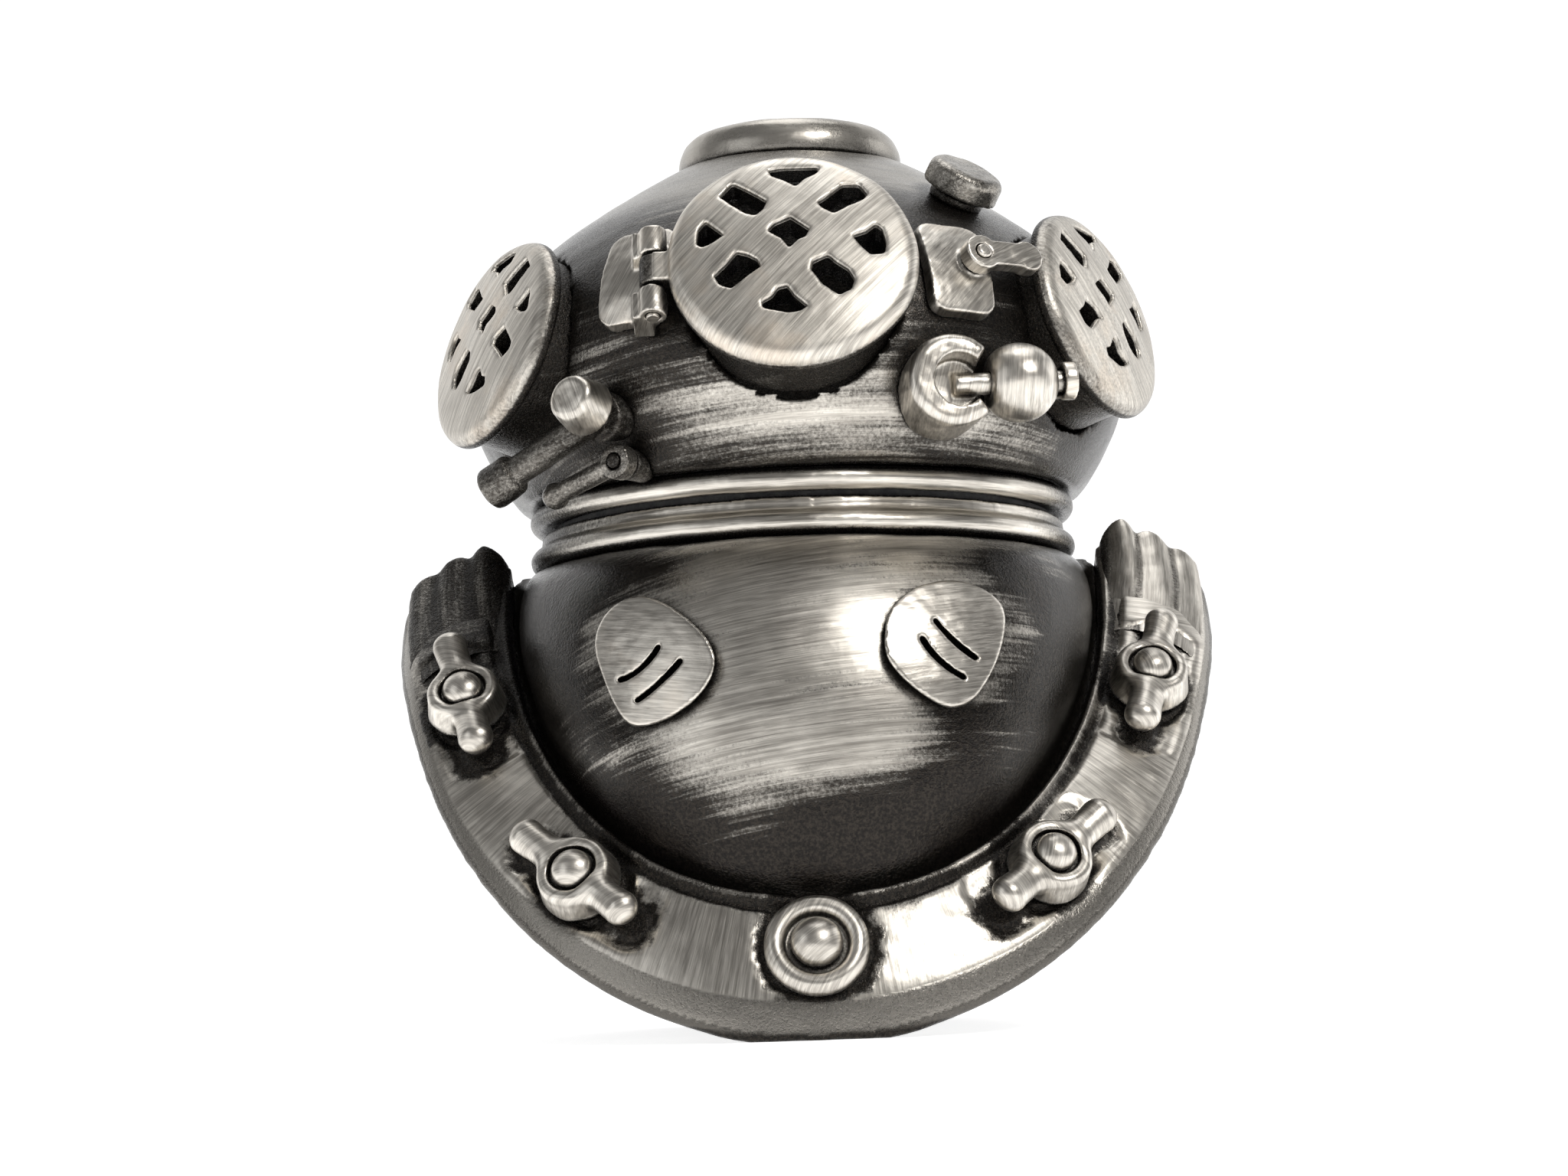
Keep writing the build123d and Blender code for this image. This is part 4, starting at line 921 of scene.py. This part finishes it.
# painted highlights: bright patches on the patina below the front port, round the back and beside the fittings
painted_highlight = gauss(az - 2, 26) * gauss(p[:, 2] - 55.6, 4.2)
painted_highlight += 0.8 * gauss(np.abs(az) - 180, 40) * gauss(p[:, 2] - 60.0, 9)
painted_highlight += 0.35 * gauss(az - 30, 14) * gauss(p[:, 2] - 53.5, 2.4)
painted_highlight += 0.40 * gauss(az + 42, 12) * gauss(p[:, 2] - 60.0, 3.0)
patina_shade = 0.80 - 0.50 * np.clip(painted_highlight, 0, 1) + 0.14 * vnoise(p, 7.0, 29)
top = step(p[:, 2], 73, 79)
patina_shade = patina_shade * (1 - top) + 0.50 * top
patina_shade += np.where((outward < 0.1) & (p[:, 2] < 80), 0.75, 0.0)
b = circ(p)
b[:, 1] += -0.05 * b[:, 0] + 0.003 * b[:, 0] ** 2
give(me, "bonnet_shell_cast", b, patina_shade, M_DOME, BODY["bonnet_shell"], "bonnet_shell", 0.75 * top)

# --- neck rings
for node in ("breastplate_neck_ring", "bonnet_neck_ring"):
    me = cast_copy(node, 0.27, 3, 0.05, 4.0, 7)
    p = coords(me)
    az = np.degrees(np.arctan2(p[:, 0], -p[:, 1]))
    r = np.hypot(p[:, 0], p[:, 1])
    # painted shade darkens the sides of the rings, with the front and the back left bright
    patina_shade = 0.04 + 0.62 * step(np.abs(az - 6), 36, 74) * step(-np.abs(az), -158, -110)
    patina_shade += np.where(r < 24.8, 0.9, 0.0)
    give(me, node + "_cast", circ(p), patina_shade, M_RING, BODY[node], node)

# --- top rim: a soft rounded ring
me = cast_copy("top_port_ring", 0.22, 8, 0.05, 3.0, 9)
p = coords(me)
give(me, "top_port_ring_cast", circ(p), 0.40 + 0.10 * vnoise(p, 4.0, 2), M_DOME, BODY["top_port_ring"], "top_port_ring", np.full(len(p), 0.8))

# --- lanyard pads
for side, s in (("left", -1), ("right", 1)):
    node = side + "_lanyard_pad"
    me = cast_copy(node, 0.15, 5, 0.05, 2.5, 13)
    p, nr = coords(me), normals(me)
    r = np.hypot(p[:, 0], p[:, 1])
    face = (nr[:, 0] * p[:, 0] + nr[:, 1] * p[:, 1]) / np.maximum(r, 1e-6)
    patina_shade = -0.10 + 0.65 * step(-face, -0.62, -0.1)
    give(me, node + "_cast", local_brush(p, (np.array([0, 0, 34.0]), np.array([1.0, 0, 0]), np.array([0, 0, 1.0]), np.array([0, -1.0, 0])), 8 * s),
         patina_shade, M_FIT, BODY[node], node)

# --- smaller fittings on the bonnet
FRONT = (np.array([0, -30.0, 60.0]), np.array([1.0, 0, 0]), np.array([0, 0, 1.0]), np.array([0, -1.0, 0]))
SMALL = {
    "front_port_hinge_leaf": (0.15, 5, 0.06, 62, 0.12, "fitting_silver"),
    "front_port_latch_plate": (0.15, 5, 0.06, 50, 0.10, "fitting_silver"),
    "front_port_latch_dog": (0.13, 6, 0.06, 30, -0.08, "fitting_silver"),
    "exhaust_valve_cap": (0.13, 6, 0.06, 20, 0.48, "fitting_silver"),
    "exhaust_valve_stem": (0.15, 4, 0.03, 20, 0.6, "fitting_silver"),
    "regulator_body": (0.14, 6, 0.07, 75, 0.05, "fitting_silver"),
    "regulator_knob": (0.13, 5, 0.05, 85, -0.25, "fitting_silver"),
    "regulator_bracket": (0.13, 5, 0.05, 10, 0.02, "fitting_silver"),
    "hose_connection_body": (0.14, 6, 0.07, 20, 0.62, "fitting_silver"),
    "hose_connection_cap": (0.13, 5, 0.06, 110, -0.10, "fitting_silver"),
    "shutoff_boss": (0.13, 5, 0.04, 20, 0.65, "fitting_silver"),
    "shutoff_lever": (0.13, 5, 0.05, 15, 0.55, "fitting_silver"),
}
for k, (node, (vox, times, amp, deg, pat0, sl)) in enumerate(SMALL.items()):
    me = cast_copy(node, vox, times, amp, 2.2, 50 + k)
    p = coords(me)
    give(me, node + "_cast", local_brush(p, FRONT, deg), np.full(len(p), pat0), M_FIT, BODY[node], node)

# --- port seats seen through the openings, and the inside fittings
INNER = {
    "front_port_seat": (0.22, 3, 0.75, "inner_metal"), "left_port_frame": (0.22, 3, 0.75, "inner_metal"),
    "right_port_frame": (0.22, 3, 0.75, "inner_metal"), "base_keel": (0.30, 3, 0.30, "inner_metal"),
    "air_inlet_nipple": (0.14, 3, -0.15, "fitting_silver"), "inlet_nut": (0.14, 3, 0.15, "fitting_silver"),
    "cup_screw": (0.12, 3, -0.05, "fitting_silver"), "stone_nipple": (0.12, 2, 0.0, "fitting_silver"),
    "front_port_hinge_pin": (0.10, 2, 0.1, "fitting_silver"),
}
for k, (node, (vox, times, pat0, sl)) in enumerate(INNER.items()):
    if node not in NODES:
        continue
    me = cast_copy(node, vox, times, 0.02, 2.2, 80 + k)
    co = coords(me)
    co[:, 2] = np.maximum(co[:, 2], 0.0)
    set_coords(me, co)
    p = coords(me)
    give(me, node + "_cast", circ(p), np.full(len(p), pat0), M_INNER if sl == "inner_metal" else M_FIT, BODY[node], node)

# --- the air stone gets a gritty surface
me = remeshed(welded("air_stone"), 0.24)
co, nr = coords(me), normals(me)
d = 0.16 * vnoise(co, 0.8, 71) + 0.10 * vnoise(co, 0.45, 72)
set_coords(me, co + nr * (d - 0.05)[:, None])
p = coords(me)
give(me, "air_stone_grit", circ(p), np.zeros(len(p)), M_STONE, BODY["air_stone"], "air_stone")

# --- CAD pieces kept as they are, with their own finish
for node, mat in (("neck_gasket", M_RUBBER), ("inlet_seal", M_RUBBER), ("air_pipe", M_PIPE), ("stone_cup", M_CUP)):
    me = NODES[node].data
    me.materials.clear()
    me.materials.append(mat)
    for poly in me.polygons:
        poly.material_index = 0

# ------------------------------------------------------------------ studio
def area(name, loc, look, size, power, colour=(1, 1, 1), size_y=None):
    d = bpy.data.lights.new(name, "AREA")
    d.energy = power
    d.color = colour
    d.size = size
    if size_y:
        d.shape = "RECTANGLE"
        d.size_y = size_y
    o = bpy.data.objects.new(name, d)
    o.location = Vector(loc)
    o.rotation_mode = "QUATERNION"
    o.rotation_quaternion = (Vector(look) - Vector(loc)).to_track_quat("-Z", "Y")
    COLL.objects.link(o)
    return o


AIM = (0, 0, 0.044)
area("key", (0.22, -0.34, 0.34), AIM, 0.15, 1.00, (1.0, 0.985, 0.96), 0.15)
area("fill", (-0.34, -0.26, 0.16), AIM, 0.22, 0.17, (0.97, 0.985, 1.0), 0.26)
area("top", (0.02, 0.02, 0.42), AIM, 0.26, 0.42, (1, 1, 1), 0.22)
area("rim", (0.30, 0.06, 0.12), AIM, 0.14, 0.14, (1, 1, 1), 0.24)

world = bpy.data.worlds.new("studio")
bpy.context.scene.world = world
world.use_nodes = True
nt = world.node_tree
nt.nodes.clear()
tc = nt.nodes.new("ShaderNodeTexCoord")
sx = nt.nodes.new("ShaderNodeSeparateXYZ")
nt.links.new(tc.outputs["Generated"], sx.inputs[0])
ramp = nt.nodes.new("ShaderNodeMapRange")
ramp.interpolation_type = "SMOOTHSTEP"
nt.links.new(sx.outputs["Y"], ramp.inputs[0])
for i, x in zip((1, 2, 3, 4), (0.10, 0.55, 0.20, 1.12)):
    ramp.inputs[i].default_value = x
bg = nt.nodes.new("ShaderNodeBackground")
bg.inputs[0].default_value = (1, 1, 1, 1)
nt.links.new(ramp.outputs[0], bg.inputs[1])
wo = nt.nodes.new("ShaderNodeOutputWorld")
nt.links.new(bg.outputs[0], wo.inputs[0])

# pale floor
fm = bpy.data.materials.new("pale_floor")
N = Net(fm)
b = N.finish(**{"Base Color": (0.93, 0.93, 0.93, 1), "Roughness": 0.9, "Emission Color": (1, 1, 1, 1), "Emission Strength": 0.78})
me = bpy.data.meshes.new("floor")
s = 3.0
me.from_pydata([(-s, -s, 0), (s, -s, 0), (s, s, 0), (-s, s, 0)], [], [(0, 1, 2, 3)])
me.materials.append(fm)
floor = bpy.data.objects.new("floor", me)
COLL.objects.link(floor)

cam_data = bpy.data.cameras.new("camera")
cam = bpy.data.objects.new("camera", cam_data)
COLL.objects.link(cam)
pitch, roll, dist = math.radians(7.0), math.radians(2.0), 0.300
f = Vector((0, math.cos(pitch), math.sin(pitch)))
u = Vector((0, -math.sin(pitch), math.cos(pitch)))
r = Vector((1, 0, 0))
xr = r * math.cos(roll) - u * math.sin(roll)
yr = r * math.sin(roll) + u * math.cos(roll)
loc = Vector((0, 0, 0.044)) - f * dist
cam.matrix_world = Matrix((
    (xr.x, yr.x, -f.x, loc.x), (xr.y, yr.y, -f.y, loc.y), (xr.z, yr.z, -f.z, loc.z), (0, 0, 0, 1)))
cam_data.sensor_width = 36.0
cam_data.lens = 4012.0 / 2048.0 * 36.0
cam_data.shift_x = -26.0 / 2048.0
cam_data.shift_y = -18.0 / 2048.0
cam_data.clip_start = 0.005
cam_data.clip_end = 20.0
cam_data.dof.use_dof = False
bpy.context.scene.camera = cam
bpy.context.scene.view_settings.view_transform = "Standard"
bpy.context.scene.view_settings.look = "None"
